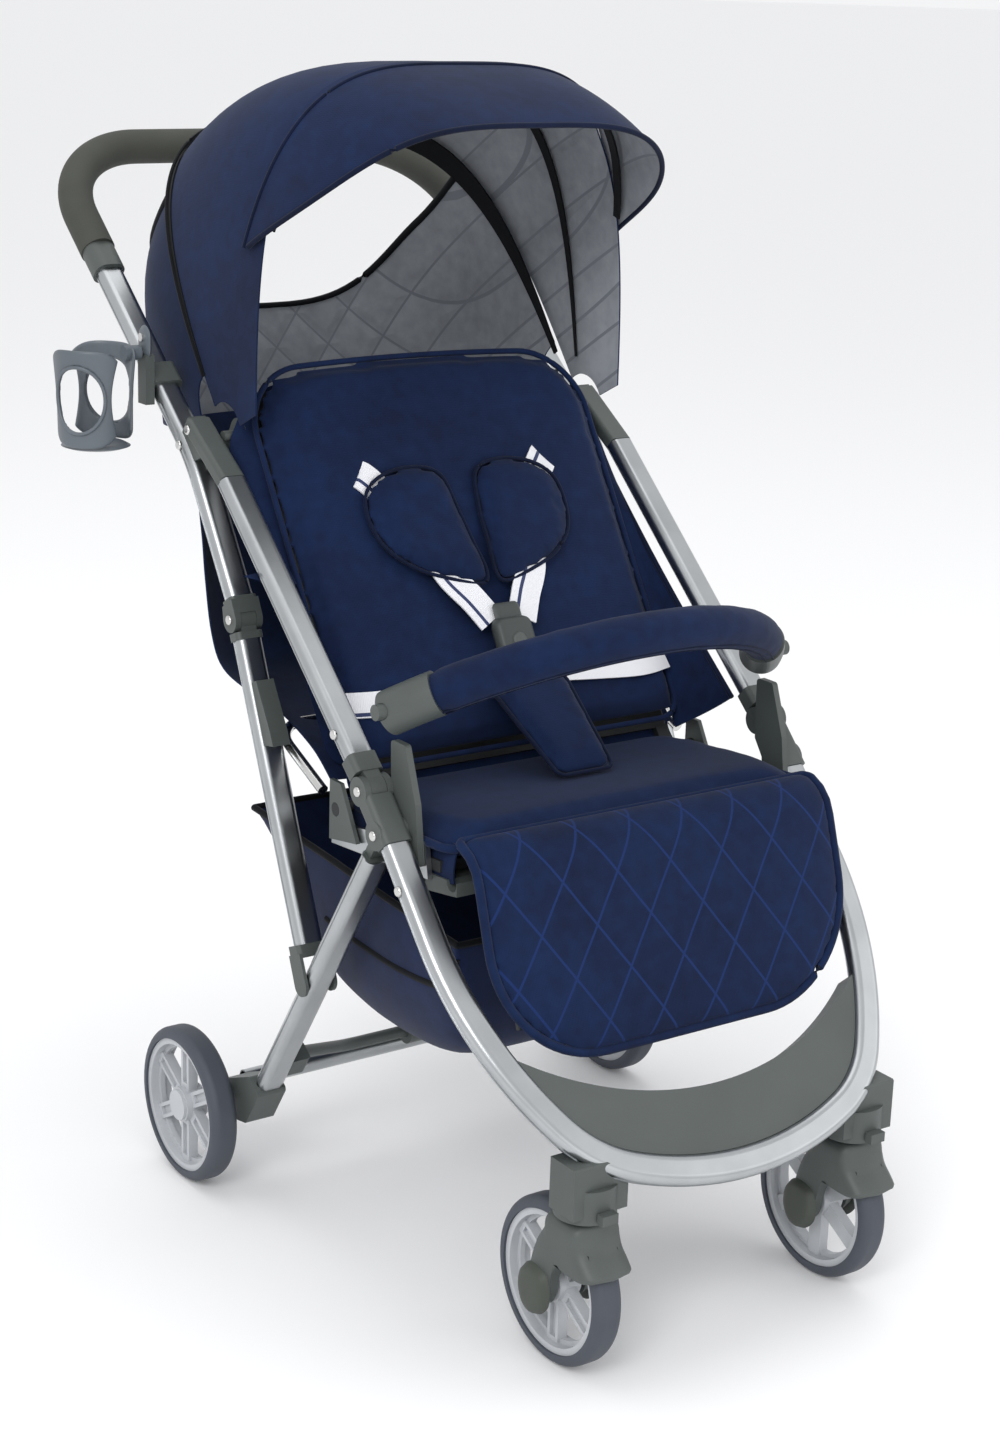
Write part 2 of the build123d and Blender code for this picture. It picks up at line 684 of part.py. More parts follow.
pad_turn = Rot(0, 0, 180) if down > 0 else Rot(0, 0, 0)
legrest_pad = extrude(pad_outline * pad_middle * pad_turn * pad_face, amount=legrest_thickness / 2, both=True)
save("legrest_pad", legrest_pad)
brackets = []
for name, side in SIDES:
    low, high = across(side, 158.0, rail_inner - 0.5)
    arm = slab(
        [
            (seat_front[0] + 44, seat_front[1] - seat_thickness - 18),
            (legrest_pivot[0] - 8, legrest_pivot[1] + 2),
            (legrest_pivot[0] - 8, legrest_pivot[1] - 10),
            (seat_front[0] + 44, seat_front[1] - seat_thickness - 34),
        ],
        low,
        high,
    )
    brackets.append(arm - disc(legrest_pivot, 7.0 + gap, low - 1, high + 1))
save("legrest_brackets", *brackets)

# ---- backrest ----
back_start = along(recline_pivot, back_slope, 22)
plates = []
for name, side in SIDES:
    low, high = across(side, rail_inner + rail_wall + 1, rail_inner + rail_wall + 5)
    plate = slab(
        [
            (recline_pivot[0] + 10, recline_pivot[1] + 26),
            (recline_pivot[0] + 10, recline_pivot[1] - 30),
            (recline_pivot[0] - 36, recline_pivot[1] - 22),
            (recline_pivot[0] - 8, recline_pivot[1] + 26),
        ],
        low,
        high,
    )
    plates.append(plate - disc(recline_pivot, 6.0 + gap, low - 1, high + 1))
save("recline_brackets", *plates)
hoop_x = rail_inner + rail_wall + 3
hoop_low = along(recline_pivot, hoop_slope, 27)
hoop_high = along(recline_pivot, hoop_slope, hoop_reach)
hoop_path = FilletPolyline(
    (-hoop_x, *hoop_low),
    (-hoop_x, *hoop_high),
    (hoop_x, *hoop_high),
    (hoop_x, *hoop_low),
    radius=hoop_corner,
)
hoop_start = Plane(origin=hoop_path @ 0, z_dir=hoop_path % 0)
save("recline_hoop", sweep(hoop_start * Circle(hoop_rod / 2), path=hoop_path))
board_length = back_length - 40
back_board = block(0, back_start, back_slope, 2 * back_half_width, 6.0, board_length, 2.5)
back_board += disc(recline_pivot, 6.0, -rail_inner - rail_wall - 5, rail_inner + rail_wall + 5)
for name, side in SIDES:
    low, high = across(side, back_half_width - 14, back_half_width)
    back_board += slab(
        [
            along(recline_pivot, back_slope, 0, 5.9),
            along(recline_pivot, back_slope, 0, -5.9),
            along(recline_pivot, back_slope, 24, -5.9),
            along(recline_pivot, back_slope, 24, 3.0),
        ],
        low,
        high,
    )
save("backrest_board", back_board)
pad_place = along(recline_pivot, back_slope, 26, back_thickness / 2 + 3.4)
pad_base = lengthwise(0, pad_place, back_slope)
pad_sketch = Plane(origin=pad_base.origin, x_dir=(1, 0, 0), z_dir=-pad_base.y_dir)
back_shape = Pos(0, back_length / 2 - 13) * Rectangle(2 * back_half_width, back_length - 26)
back_face = fillet(back_shape.vertices().group_by(Axis.Y)[-1], 80.0)
save("back_pad", extrude(pad_sketch * back_face, amount=back_thickness / 2, both=True))
curtain_place = along(recline_pivot, back_slope, 60, -13.0)
curtain = block(0, curtain_place, back_slope, 2 * back_half_width + 8, 18.0, back_length - 10, 6.0)
save("rear_curtain", curtain)
shoulder_pads = []
for name, side in SIDES:
    place = along(recline_pivot, back_slope, 178, back_thickness + 13)
    pad = block(side * 56.0, place, back_slope, 100.0, 14.0, 122, 6.0)
    shoulder_pads.append(pad)
save("shoulder_pads", *shoulder_pads)

# ---- bumper bar ----
bar_radius = (bumper_half_width**2 + bumper_sagitta**2) / (2 * bumper_sagitta)
bar_half_angle = degrees(atan2(bumper_half_width, bar_radius - bumper_sagitta))
bar_end_angle = 12.0              # share of the arc taken by each end socket
bumper_plane = Plane(
    origin=(0, bumper_end[0], bumper_end[1]),
    x_dir=(1, 0, 0),
    z_dir=(0, -sin(radians(bumper_slope)), -cos(radians(bumper_slope))),
)


def bumper_arc(start, turn, diameter):
    centre = (0, bumper_sagitta - bar_radius)
    arc = CenterArc(centre, bar_radius, start, turn)
    first = bumper_plane * arc
    plane = Plane(origin=first @ 0, z_dir=first % 0)
    return sweep(plane * Circle(diameter / 2), path=first)


bar_low = 90 - bar_half_angle
save("bumper_bar", bumper_arc(bar_low + bar_end_angle, 2 * (bar_half_angle - bar_end_angle), bumper_diameter))
bumper_ends = [
    bumper_arc(bar_low, bar_end_angle, bumper_diameter + 2),
    bumper_arc(180 - bar_low - bar_end_angle, bar_end_angle, bumper_diameter + 2),
]
button_axis_y = bumper_end[0] - 10
button_point = (button_axis_y, bumper_end[1] + 10 * sin(radians(bumper_slope)))
button_radius = 7.0
button_travel = 3.0
sockets = []
arms = []
for (name, side), socket in zip(reversed(SIDES), bumper_ends):
    hole_low, hole_high = across(side, 210.0, 230.0)
    sockets.append(socket - disc(button_point, button_radius + gap, hole_low, hole_high))
    low, high = across(side, 210.0 + button_travel + gap, 226.0)
    save(f"bumper_button_{name}", disc(button_point, button_radius, low, high))
    low, high = across(side, rail_inner + rail_wall + 0.3, side_x - housing_width / 2 - 0.1)
    arm = slab(
        [
            (bumper_end[0] - 4, bumper_end[1] - 22),
            (bumper_end[0] - 26, bumper_end[1] - 22),
            (bumper_end[0] - 44, bumper_end[1] - 70),
            (bumper_end[0] - 52, bumper_end[1] - 124),
            (bumper_end[0] - 38, bumper_end[1] - 124),
            (bumper_end[0] - 6, bumper_end[1] - 80),
        ],
        low,
        high,
    )
    arm = fillet(arm.edges().filter_by(Axis.X), 4.0)
    arms.append(arm - disc(rail_front, rail_bolt_radius + gap, low - 1, high + 1))
save("bumper_ends", *sockets)
save("bumper_arms", *arms)


# ---- canopy ----
def canopy_profile(radius, half_width, inset=0.0):
    """Outline of one panel's section: radius from the pivot axis against X, from side to side."""
    start = 12
    points = []
    for step in range(start, 181 - start, 4):
        angle = radians(step)
        share = abs(cos(angle)) ** (2 / canopy_power)
        x = (half_width - inset) * share * (1 if cos(angle) > 0 else -1)
        points.append((x, (radius - inset) * sin(angle) ** (2 / canopy_power)))
    return Spline(*points)


def canopy_band(radius, half_width, start, end, flare=0.0):
    """Panel from one angle to another about the canopy pivot, its far edge further out by flare."""
    steps = 3 if flare else 1
    sections = []
    for index in range(steps + 1):
        angle = start + (end - start) * index / steps
        grown = radius + flare * index / steps
        outer = canopy_profile(grown, half_width)
        inner = canopy_profile(grown, half_width, canopy_skin)
        close_a = Line(outer @ 0, inner @ 0)
        close_b = Line(outer @ 1, inner @ 1)
        face = make_face(outer + inner + close_a + close_b)
        up = (0, cos(radians(angle)), sin(radians(angle)))
        plane = Plane(origin=(0, *canopy_pivot), x_dir=(1, 0, 0), z_dir=(0, -up[2], up[1]))
        sections.append(plane * face)
    if flare:
        return loft(sections)
    axis = Axis((0, *canopy_pivot), (1, 0, 0))
    return revolve(sections[0], axis=axis, revolution_arc=end - start)


pin_radius = 5.0
arm_half = 13.0
arm_reach = 150.0


def canopy_arms(width, angle):
    """Flat arms that carry one panel on the canopy pivot, one each side."""
    arms = []
    for name, side in SIDES:
        low, high = across(side, width - 7.0, width - 3.5)
        arm = disc(canopy_pivot, arm_half, low, high)
        arm += slab(
            [
                along(canopy_pivot, angle, 0, arm_half),
                along(canopy_pivot, angle, 0, -arm_half),
                along(canopy_pivot, angle, arm_reach, -arm_half),
                along(canopy_pivot, angle, arm_reach, arm_half),
            ],
            low,
            high,
        )
        arms.append(arm - disc(canopy_pivot, pin_radius + gap, low - 1, high + 1))
    return arms[0] + arms[1]


window_half = 150.0
rear_width = canopy_half_width - 2 * canopy_step
rear_radius = canopy_radius - 2 * canopy_step
rear_panel = canopy_band(rear_radius, rear_width, canopy_back_angle, zip_angle)
window_low = 18.0
window_lean = radians(window_low)
window_up = (0, -sin(window_lean), cos(window_lean))
window_plane = Plane(origin=(0, *canopy_pivot), x_dir=(1, 0, 0), z_dir=window_up)
window = revolve(
    window_plane * (Pos(0, rear_radius) * RectangleRounded(2 * window_half, 220, 20)),
    axis=Axis((0, *canopy_pivot), (1, 0, 0)),
    revolution_arc=zip_angle - 8 - window_low,
)
rear_arm_angle = (canopy_back_angle + zip_angle) / 2 + 18
save("canopy_rear_panel", rear_panel - window + canopy_arms(rear_width, rear_arm_angle))
middle_radius = canopy_radius - canopy_step
middle_width = canopy_half_width - canopy_step
front_panel = canopy_band(middle_radius, middle_width, zip_angle - canopy_overlap, front_bow_angle)
save("canopy_front_panel", front_panel + canopy_arms(middle_width, (zip_angle + front_bow_angle) / 2))
visor_start = front_bow_angle - canopy_overlap
visor = canopy_band(canopy_radius, canopy_half_width, visor_start, visor_angle, visor_flare)
save("canopy_visor", visor + canopy_arms(canopy_half_width, (visor_start + visor_angle) / 2))
stays = []
for name, side in SIDES:
    low, high = across(side, 186.0, 190.0)
    arm = disc(canopy_pivot, 16.0, low, high)
    arm += slab(
        [
            along(canopy_pivot, handle_slope, -15),
            along(canopy_pivot, handle_slope, 15),
            along(canopy_pivot, handle_slope, 15, -34),
            along(canopy_pivot, handle_slope, -15, -34),
        ],
        low,
        high,
    )
    arm += slab(
        [
            along(canopy_pivot, handle_slope, -15, -24),
            along(canopy_pivot, handle_slope, 15, -24),
            along(canopy_pivot, handle_slope, 15, -34),
            along(canopy_pivot, handle_slope, -15, -34),
        ],
        *across(side, 186.0, side_x),
    )
    arm += disc(canopy_pivot, pin_radius, *across(side, 188.0, canopy_half_width - 2.0))
    stays.append(arm)
trimmed = [stay - solid - clevis for stay, solid, clevis in zip(stays, handle_solids, clevis_bodies)]
save("canopy_brackets", *trimmed)

# ---- cup holder ----
cup_place = (-291.0, 328.0, 752.0)
cup_radius = 33.0
ring_radius = 38.0
cup_base_drop = 48.0
cup_base = Pos(cup_place[0], cup_place[1], cup_place[2] - cup_base_drop) * Cylinder(cup_radius + 1.5, 5)
cup_ring = Cylinder(ring_radius, 9) - Cylinder(cup_radius, 10)
cup_ring = Pos(cup_place[0], cup_place[1], cup_place[2] + 40) * cup_ring
cup_body = cup_base + cup_ring
for index in range(3):
    turn = Rot(0, 0, 60 + index * 120)
    post = turn * Pos(ring_radius - 3.2, 0, -6) * Box(5, 20, 96)
    cup_body += Pos(*cup_place) * post
cup_arm_x = -side_x - tube_width / 2 - 11.6
cup_arm = cup_arm_x - cup_place[0] - cup_radius
cup_body += Pos(cup_arm_x - cup_arm / 2, cup_place[1] - 2, cup_place[2] + 40) * Box(cup_arm + 1, 16, 9)
save("cup_holder", cup_body)
clamp_start = along(handle_bend_point, handle_slope, 84)
clamp = block(-side_x, clamp_start, handle_slope, tube_width + 6, tube_depth + 6, 24, 5.0)
clamp += Pos(-side_x - tube_width / 2 - 7, cup_place[1] - 2, cup_place[2] + 12) * Box(9, 16, 46)
save("cup_clamp", clamp - handle_solids[0])

# ---- rivets ----
outer_face = side_x + housing_width / 2
chassis_rivets = []
upper_rivets = []
for name, side in SIDES:
    chassis_rivets += [rivet(side, knee, outer_face), rivet(side, rear_leg_pivot, outer_face)]
    tube_face = side_x + tube_width / 2
    chassis_rivets.append(rivet(side, along(loop_top, 180 + loop_slope, 40), tube_face))
    upper_rivets += [
        rivet(side, strut_pivot, outer_face),
        rivet(side, along(upper_start, upper_slope, 26), tube_face),
        rivet(side, along(top_pivot, handle_slope, 2, -23), tube_face),
        rivet(side, top_pivot, side_x + tube_width / 2 - 0.5),
    ]
save("chassis_rivets", *chassis_rivets)
save("upper_rivets", *upper_rivets)
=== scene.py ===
import bpy
import bmesh
import json
from math import acos, atan2, cos, degrees, exp, pi, radians, sin, sqrt
from mathutils import Matrix, Vector, noise


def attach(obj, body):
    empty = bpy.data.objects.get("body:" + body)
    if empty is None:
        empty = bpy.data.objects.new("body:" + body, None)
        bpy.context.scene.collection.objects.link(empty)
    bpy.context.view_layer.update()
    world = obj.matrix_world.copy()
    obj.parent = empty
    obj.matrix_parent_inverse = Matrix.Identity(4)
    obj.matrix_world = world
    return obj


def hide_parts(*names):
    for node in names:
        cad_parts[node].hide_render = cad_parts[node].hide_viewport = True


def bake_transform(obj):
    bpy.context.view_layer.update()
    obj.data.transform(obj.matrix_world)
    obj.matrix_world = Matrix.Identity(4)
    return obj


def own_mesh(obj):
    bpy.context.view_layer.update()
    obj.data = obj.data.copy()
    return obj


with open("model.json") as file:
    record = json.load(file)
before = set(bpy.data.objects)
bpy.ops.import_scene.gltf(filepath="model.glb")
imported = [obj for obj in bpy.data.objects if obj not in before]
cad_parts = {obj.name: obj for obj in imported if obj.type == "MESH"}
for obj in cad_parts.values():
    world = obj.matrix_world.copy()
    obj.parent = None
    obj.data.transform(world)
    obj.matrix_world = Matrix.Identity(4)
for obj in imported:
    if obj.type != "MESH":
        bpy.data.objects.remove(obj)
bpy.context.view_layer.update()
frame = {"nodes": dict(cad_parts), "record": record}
nodes = frame["nodes"]
record = frame["record"]
joints = {joint["name"]: joint for joint in record["behaviour"]["joints"]}
MM = 0.001

# ---- places taken from the frame ----
knee = joints["frame_fold"]["pos_m"][1:]
canopy_axis = joints["canopy_fold"]["pos_m"][1:]
back_slope = 57.8
upper_slope = 41.6
legrest_fall = 252.0
canopy_radius = 0.340
canopy_power = 3.5
zip_angle = 53.0
bow_angle = 102.0
visor_angle = 124.0


def along(point, slope, distance, rise=0.0):
    """A point of the side view, (y, z), at a distance along a slope and square to it by rise."""
    angle = radians(slope)
    return (
        point[0] + distance * cos(angle) - rise * sin(angle),
        point[1] + distance * sin(angle) + rise * cos(angle),
    )


# ---- materials ----
def linear(hex_colour):
    """sRGB hex to the linear colour that shaders take."""
    channels = [int(hex_colour[i : i + 2], 16) / 255 for i in (1, 3, 5)]
    return tuple(c / 12.92 if c <= 0.04045 else ((c + 0.055) / 1.055) ** 2.4 for c in channels) + (1.0,)


def add(tree, kind, inputs=None, **settings):
    """Add one node with its settings, and its inputs as values or as sockets to link."""
    made = tree.nodes.new(kind)
    for key, value in settings.items():
        setattr(made, key, value)
    for key, value in (inputs or {}).items():
        if isinstance(value, bpy.types.NodeSocket):
            tree.links.new(value, made.inputs[key])
        else:
            made.inputs[key].default_value = value
    return made


def finish_material(name, **settings):
    """New material with a Principled shader; settings are its socket values."""
    material = bpy.data.materials.new(name)
    material.use_nodes = True
    tree = material.node_tree
    shader = tree.nodes["Principled BSDF"]
    for key, value in settings.items():
        shader.inputs[key.replace("_", " ")].default_value = value
    return material, tree, shader


def ramp(tree, fac, stops):
    made = add(tree, "ShaderNodeValToRGB", {"Fac": fac})
    elements = made.color_ramp.elements
    elements[0].position, elements[0].color = stops[0]
    elements[1].position, elements[1].color = stops[-1]
    for position, colour in stops[1:-1]:
        elements.new(position).color = colour
    return made


def woven_cotton(
    name, dark, light, thread_mm=1.5, bump=0.35, quilt=None, stitch=None, sheen=0.05, relief=(0.6, 2.5)
):
    """Plain-weave cotton canvas: crossed threads, slight slubs, matt with a soft edge sheen.
    Threads of 0.5 mm would be too fine to show, so they are drawn at thread_mm.
    quilt is (axis_a, axis_b, diamond in mm): stitched channels along two crossed directions, with
    relief as the strength and the depth in mm of their quilted swell."""
    material, tree, shader = finish_material(
        name, Roughness=0.85, Specular_IOR_Level=0.15, Sheen_Weight=sheen, Sheen_Roughness=0.5
    )
    place = add(tree, "ShaderNodeTexCoord").outputs["Object"]
    slubs = add(tree, "ShaderNodeTexNoise", {"Vector": place, "Scale": 1 / (14 * MM), "Detail": 4.0})
    blotch = add(tree, "ShaderNodeTexNoise", {"Vector": place, "Scale": 1 / (120 * MM), "Detail": 2.0})
    threads = []
    for direction in ("X", "Y", "Z"):
        threads.append(
            add(
                tree,
                "ShaderNodeTexWave",
                {"Vector": place, "Scale": pi / (10 * thread_mm * MM), "Distortion": 0.6, "Detail": 1.0},
                bands_direction=direction,
            ).outputs["Fac"]
        )
    cross = add(tree, "ShaderNodeMath", {0: threads[0], 1: threads[1]}, operation="ADD").outputs[0]
    weave = add(tree, "ShaderNodeMath", {0: cross, 1: threads[2]}, operation="ADD").outputs[0]
    slub, cloud = slubs.outputs["Fac"], blotch.outputs["Fac"]
    tone = add(tree, "ShaderNodeMath", {0: slub, 1: cloud}, operation="ADD").outputs[0]
    half = add(tree, "ShaderNodeMath", {0: tone, 1: 0.5}, operation="MULTIPLY").outputs[0]
    colour = ramp(tree, half, [(0.3, linear(dark)), (0.7, linear(light))]).outputs["Color"]
    height = add(tree, "ShaderNodeMath", {0: weave, 1: 0.18}, operation="MULTIPLY").outputs[0]
    normal = add(tree, "ShaderNodeBump", {"Height": height, "Strength": bump, "Distance": 0.4 * MM}).outputs["Normal"]
    if quilt:
        axis_a, axis_b, size = quilt
        lines = []
        for axis in (axis_a, axis_b):
            reach = add(tree, "ShaderNodeVectorMath", {0: place, 1: axis}, operation="DOT_PRODUCT").outputs["Value"]
            turns = add(tree, "ShaderNodeMath", {0: reach, 1: 1 / (size * MM)}, operation="MULTIPLY").outputs[0]
            near = add(tree, "ShaderNodeMath", {0: turns, 1: 0.5}, operation="PINGPONG").outputs[0]
            lines.append(near)
        channel = add(tree, "ShaderNodeMath", {0: lines[0], 1: lines[1]}, operation="MINIMUM").outputs[0]
        puff = add(
            tree,
            "ShaderNodeMapRange",
            {"Value": channel, "From Min": 0.0, "From Max": 0.22},
            interpolation_type="SMOOTHSTEP",
        ).outputs["Result"]
        normal = add(
            tree,
            "ShaderNodeBump",
            {"Height": puff, "Strength": relief[0], "Distance": relief[1] * MM, "Normal": normal},
        ).outputs["Normal"]
        thread = add(tree, "ShaderNodeMath", {0: channel, 1: 1.1 / size}, operation="LESS_THAN").outputs[0]
        if stitch:
            colour = add(
                tree, "ShaderNodeMix", {"Factor": thread, "A": colour, "B": linear(stitch)}, data_type="RGBA"
            ).outputs["Result"]
    tree.links.new(colour, shader.inputs["Base Color"])
    tree.links.new(normal, shader.inputs["Normal"])
    return material


def moulded_plastic(name, hex_colour, rough=0.48, grain_mm=0.9, bump=0.12):
    """Moulded nylon or ABS with a fine spark-eroded grain: even colour, soft highlights."""
    material, tree, shader = finish_material(name, Roughness=rough)
    place = add(tree, "ShaderNodeTexCoord").outputs["Object"]
    grain = add(tree, "ShaderNodeTexNoise", {"Vector": place, "Scale": 1 / (grain_mm * MM), "Detail": 2.0})
    cloud = add(tree, "ShaderNodeTexNoise", {"Vector": place, "Scale": 1 / (60 * MM), "Detail": 3.0})
    base = linear(hex_colour)
    darker = tuple(c * 0.88 for c in base[:3]) + (1.0,)
    colour = ramp(tree, cloud.outputs["Fac"], [(0.3, darker), (0.7, base)]).outputs["Color"]
    tree.links.new(colour, shader.inputs["Base Color"])
    normal = add(tree, "ShaderNodeBump", {"Height": grain.outputs["Fac"], "Strength": bump, "Distance": 0.2 * MM})
    tree.links.new(normal.outputs["Normal"], shader.inputs["Normal"])
    shiny, dull = (rough - 0.06,) * 3 + (1,), (rough + 0.08,) * 3 + (1,)
    wear = ramp(tree, grain.outputs["Fac"], [(0.0, shiny), (1.0, dull)])
    tree.links.new(wear.outputs["Color"], shader.inputs["Roughness"])
    return material


def anodised_aluminium(name, hex_colour="#b3b6b8", rough=0.3):
    """Drawn aluminium tube, satin anodised: pale grey, with faint drawing marks."""
    material, tree, shader = finish_material(name, Metallic=1.0, Roughness=rough)
    place = add(tree, "ShaderNodeTexCoord").outputs["Object"]
    satin = add(tree, "ShaderNodeTexNoise", {"Vector": place, "Scale": 1 / (0.8 * MM), "Detail": 2.0})
    cloud = add(tree, "ShaderNodeTexNoise", {"Vector": place, "Scale": 1 / (45 * MM), "Detail": 3.0})
    base = linear(hex_colour)
    darker = tuple(c * 0.9 for c in base[:3]) + (1.0,)
    colour = ramp(tree, cloud.outputs["Fac"], [(0.35, darker), (0.65, base)]).outputs["Color"]
    tree.links.new(colour, shader.inputs["Base Color"])
    normal = add(tree, "ShaderNodeBump", {"Height": satin.outputs["Fac"], "Strength": 0.06, "Distance": 0.1 * MM})
    tree.links.new(normal.outputs["Normal"], shader.inputs["Normal"])
    return material


def foam_rubber(name, hex_colour, cell_mm=1.2, rough=0.8, bump=0.25):
    """Closed-cell EVA foam: matt, with fine pores."""
    material, tree, shader = finish_material(name, Roughness=rough)
    place = add(tree, "ShaderNodeTexCoord").outputs["Object"]
    cells = add(tree, "ShaderNodeTexVoronoi", {"Vector": place, "Scale": 1 / (cell_mm * MM)})
    cloud = add(tree, "ShaderNodeTexNoise", {"Vector": place, "Scale": 1 / (40 * MM), "Detail": 4.0})
    base = linear(hex_colour)
    darker = tuple(c * 0.82 for c in base[:3]) + (1.0,)
    colour = ramp(tree, cloud.outputs["Fac"], [(0.3, darker), (0.7, base)]).outputs["Color"]
    tree.links.new(colour, shader.inputs["Base Color"])
    normal = add(tree, "ShaderNodeBump", {"Height": cells.outputs["Distance"], "Strength": bump, "Distance": 0.3 * MM})
    tree.links.new(normal.outputs["Normal"], shader.inputs["Normal"])
    return material


def webbing(name, base_hex, stripe_hex, width):
    """Woven polyester webbing with one stripe nearer an edge; its UV runs across it in metres, then along."""
    material, tree, shader = finish_material(name, Roughness=0.7, Sheen_Weight=0.2)
    uv = add(tree, "ShaderNodeUVMap").outputs["UV"]
    parts = add(tree, "ShaderNodeSeparateXYZ", {0: uv})
    off = add(tree, "ShaderNodeMath", {0: parts.outputs["X"], 1: width * 0.7}, operation="SUBTRACT").outputs[0]
    gap = add(tree, "ShaderNodeMath", {0: off}, operation="ABSOLUTE").outputs[0]
    stripe = add(tree, "ShaderNodeMath", {0: gap, 1: 1.8 * MM}, operation="LESS_THAN").outputs[0]
    ribs = add(tree, "ShaderNodeMath", {0: parts.outputs["Y"], 1: 2 * pi / (1.6 * MM)}, operation="MULTIPLY").outputs[0]
    wave = add(tree, "ShaderNodeMath", {0: ribs}, operation="SINE").outputs[0]
    base, band = linear(base_hex), linear(stripe_hex)
    colour = add(tree, "ShaderNodeMix", {"Factor": stripe, "A": base, "B": band}, data_type="RGBA")
    tree.links.new(colour.outputs["Result"], shader.inputs["Base Color"])
    normal = add(tree, "ShaderNodeBump", {"Height": wave, "Strength": 0.4, "Distance": 0.3 * MM})
    tree.links.new(normal.outputs["Normal"], shader.inputs["Normal"])
    return material


NAVY_DARK = "#0b1733"
NAVY_LIGHT = "#102347"
leg_cos, leg_sin = cos(radians(legrest_fall)), sin(radians(legrest_fall))
# the shell cloth of seat, canopy and bumper: dyed cotton canvas
navy = woven_cotton("navy_cotton_canvas", NAVY_DARK, NAVY_LIGHT)
# folded binding tape on the edges and seams
navy_dark = woven_cotton("navy_binding_tape", "#070f24", "#0c1834", thread_mm=1.0)
# the leg rest: the same canvas, quilted over thin wadding
navy_quilt = woven_cotton(
    "quilted_navy_cotton",
    NAVY_DARK,
    NAVY_LIGHT,
    quilt=((0.82, 0.57 * leg_cos, 0.57 * leg_sin), (0.82, -0.57 * leg_cos, -0.57 * leg_sin), 47),
    stitch="#152a59",
    relief=(0.22, 1.0),
)
# the canopy lining: thin polyester, quilted in diamonds
grey_quilt = woven_cotton(
    "quilted_grey_polyester",
    "#84888e",
    "#a2a6ac",
    thread_mm=1.2,
    bump=0.15,
    quilt=((0.75, 0.35, 0.56), (0.75, -0.35, -0.56), 46),
    stitch="#7f838a",
)
# black polyester tape of the zips, bow sleeves and rims
black_tape = woven_cotton("black_zip_tape", "#08090c", "#0e1015", thread_mm=1.0, bump=0.2, sheen=0.05)
# the basket: lighter woven polyester
basket_cloth = woven_cotton("navy_basket_polyester", "#0a1430", "#112145", thread_mm=1.3, bump=0.25, sheen=0.1)
# drawn and anodised tube of the frame
tube_metal = anodised_aluminium("satin_anodised_aluminium")
# glass-filled nylon of the housings, forks and foot rest
grey_plastic = moulded_plastic("grey_moulded_nylon", "#4b514f")
# darker nylon of the buckle
dark_plastic = moulded_plastic("dark_grey_nylon", "#3a3f3e")
# pale nylon of the wheel rims and hubs
rim_plastic = moulded_plastic("pale_grey_wheel_nylon", "#b9bcc0", rough=0.42)
# slate ABS of the cup holder
cup_plastic = moulded_plastic("pale_grey_abs", "#5a6269", rough=0.38)
# black sheet that stiffens the seat and the backrest
board_plastic = moulded_plastic("black_polypropylene_board", "#202224", rough=0.6)
# olive nylon caps over the front hubs
hub_plastic = moulded_plastic("dark_hub_cover_nylon", "#41463f", rough=0.55)
# closed-cell foam tyres
tyre_foam = foam_rubber("blue_grey_eva_tyre", "#444953", rough=0.62, bump=0.12)
# foam sleeve on the handle
grip_foam = foam_rubber("olive_grey_eva_grip", "#3f413b")
# zinc-plated rivets and screws
fastener_metal = anodised_aluminium("zinc_plated_steel", "#d4d4d2", rough=0.2)
# harness webbing, white with a navy stripe
white_webbing = webbing("white_webbing_navy_stripe", "#e6e7ec", "#1d2c58", 30 * MM)

slot_finish = {
    "aluminium_tube": tube_metal,
    "grey_plastic": grey_plastic,
    "wheel_plastic": rim_plastic,
    "tyre_foam": tyre_foam,
    "grip_foam": grip_foam,
    "navy_fabric": navy,
    "lining_fabric": grey_quilt,
    "steel_fastener": fastener_metal,
    "board_plastic": board_plastic,
    "cup_plastic": cup_plastic,
}
for entry in record["subparts"]:
    cad_node = nodes[entry["node"]]
    cad_node.data.materials.clear()
    cad_node.data.materials.append(slot_finish[entry["material_slot"]])


# ---- mesh helpers ----
def deselect():
    for thing in bpy.context.selected_objects:
        thing.select_set(False)


def activate(piece):
    deselect()
    bpy.context.view_layer.objects.active = piece
    piece.select_set(True)


def piece_of(name, verts, faces, material, uvs=None):
    mesh = bpy.data.meshes.new(name)
    mesh.from_pydata([tuple(v) for v in verts], [], faces)
    mesh.update()
    if uvs:
        layer = mesh.uv_layers.new(name="UVMap")
        for loop in mesh.loops:
            layer.data[loop.index].uv = uvs[loop.vertex_index]
    piece = bpy.data.objects.new(name, mesh)
    bpy.context.scene.collection.objects.link(piece)
    piece.data.materials.append(material)
    return piece


def grid_piece(name, rows, material, closed=False):
    """Sheet through rows of points; UV in metres across and along."""
    count = len(rows[0])
    verts = [point for row in rows for point in row]
    faces = []
    for i in range(len(rows) - 1):
        for j in range(count - 1 + (1 if closed else 0)):
            k = (j + 1) % count
            faces.append((i * count + j, i * count + k, (i + 1) * count + k, (i + 1) * count + j))
    uvs = []
    down = 0.0
    for i, row in enumerate(rows):
        if i:
            down += (Vector(row[count // 2]) - Vector(rows[i - 1][count // 2])).length
        run = 0.0
        for j, point in enumerate(row):
            if j:
                run += (Vector(point) - Vector(row[j - 1])).length
            uvs.append((run, down))
    return piece_of(name, verts, faces, material, uvs)


def modifier(piece, kind, **settings):
    activate(piece)
    made = piece.modifiers.new(kind.title(), kind)
    for key, value in settings.items():
        setattr(made, key, value)
    bpy.ops.object.modifier_apply(modifier=made.name)


def smooth(piece, angle=40):
    activate(piece)
    bpy.ops.object.shade_smooth_by_angle(angle=radians(angle))


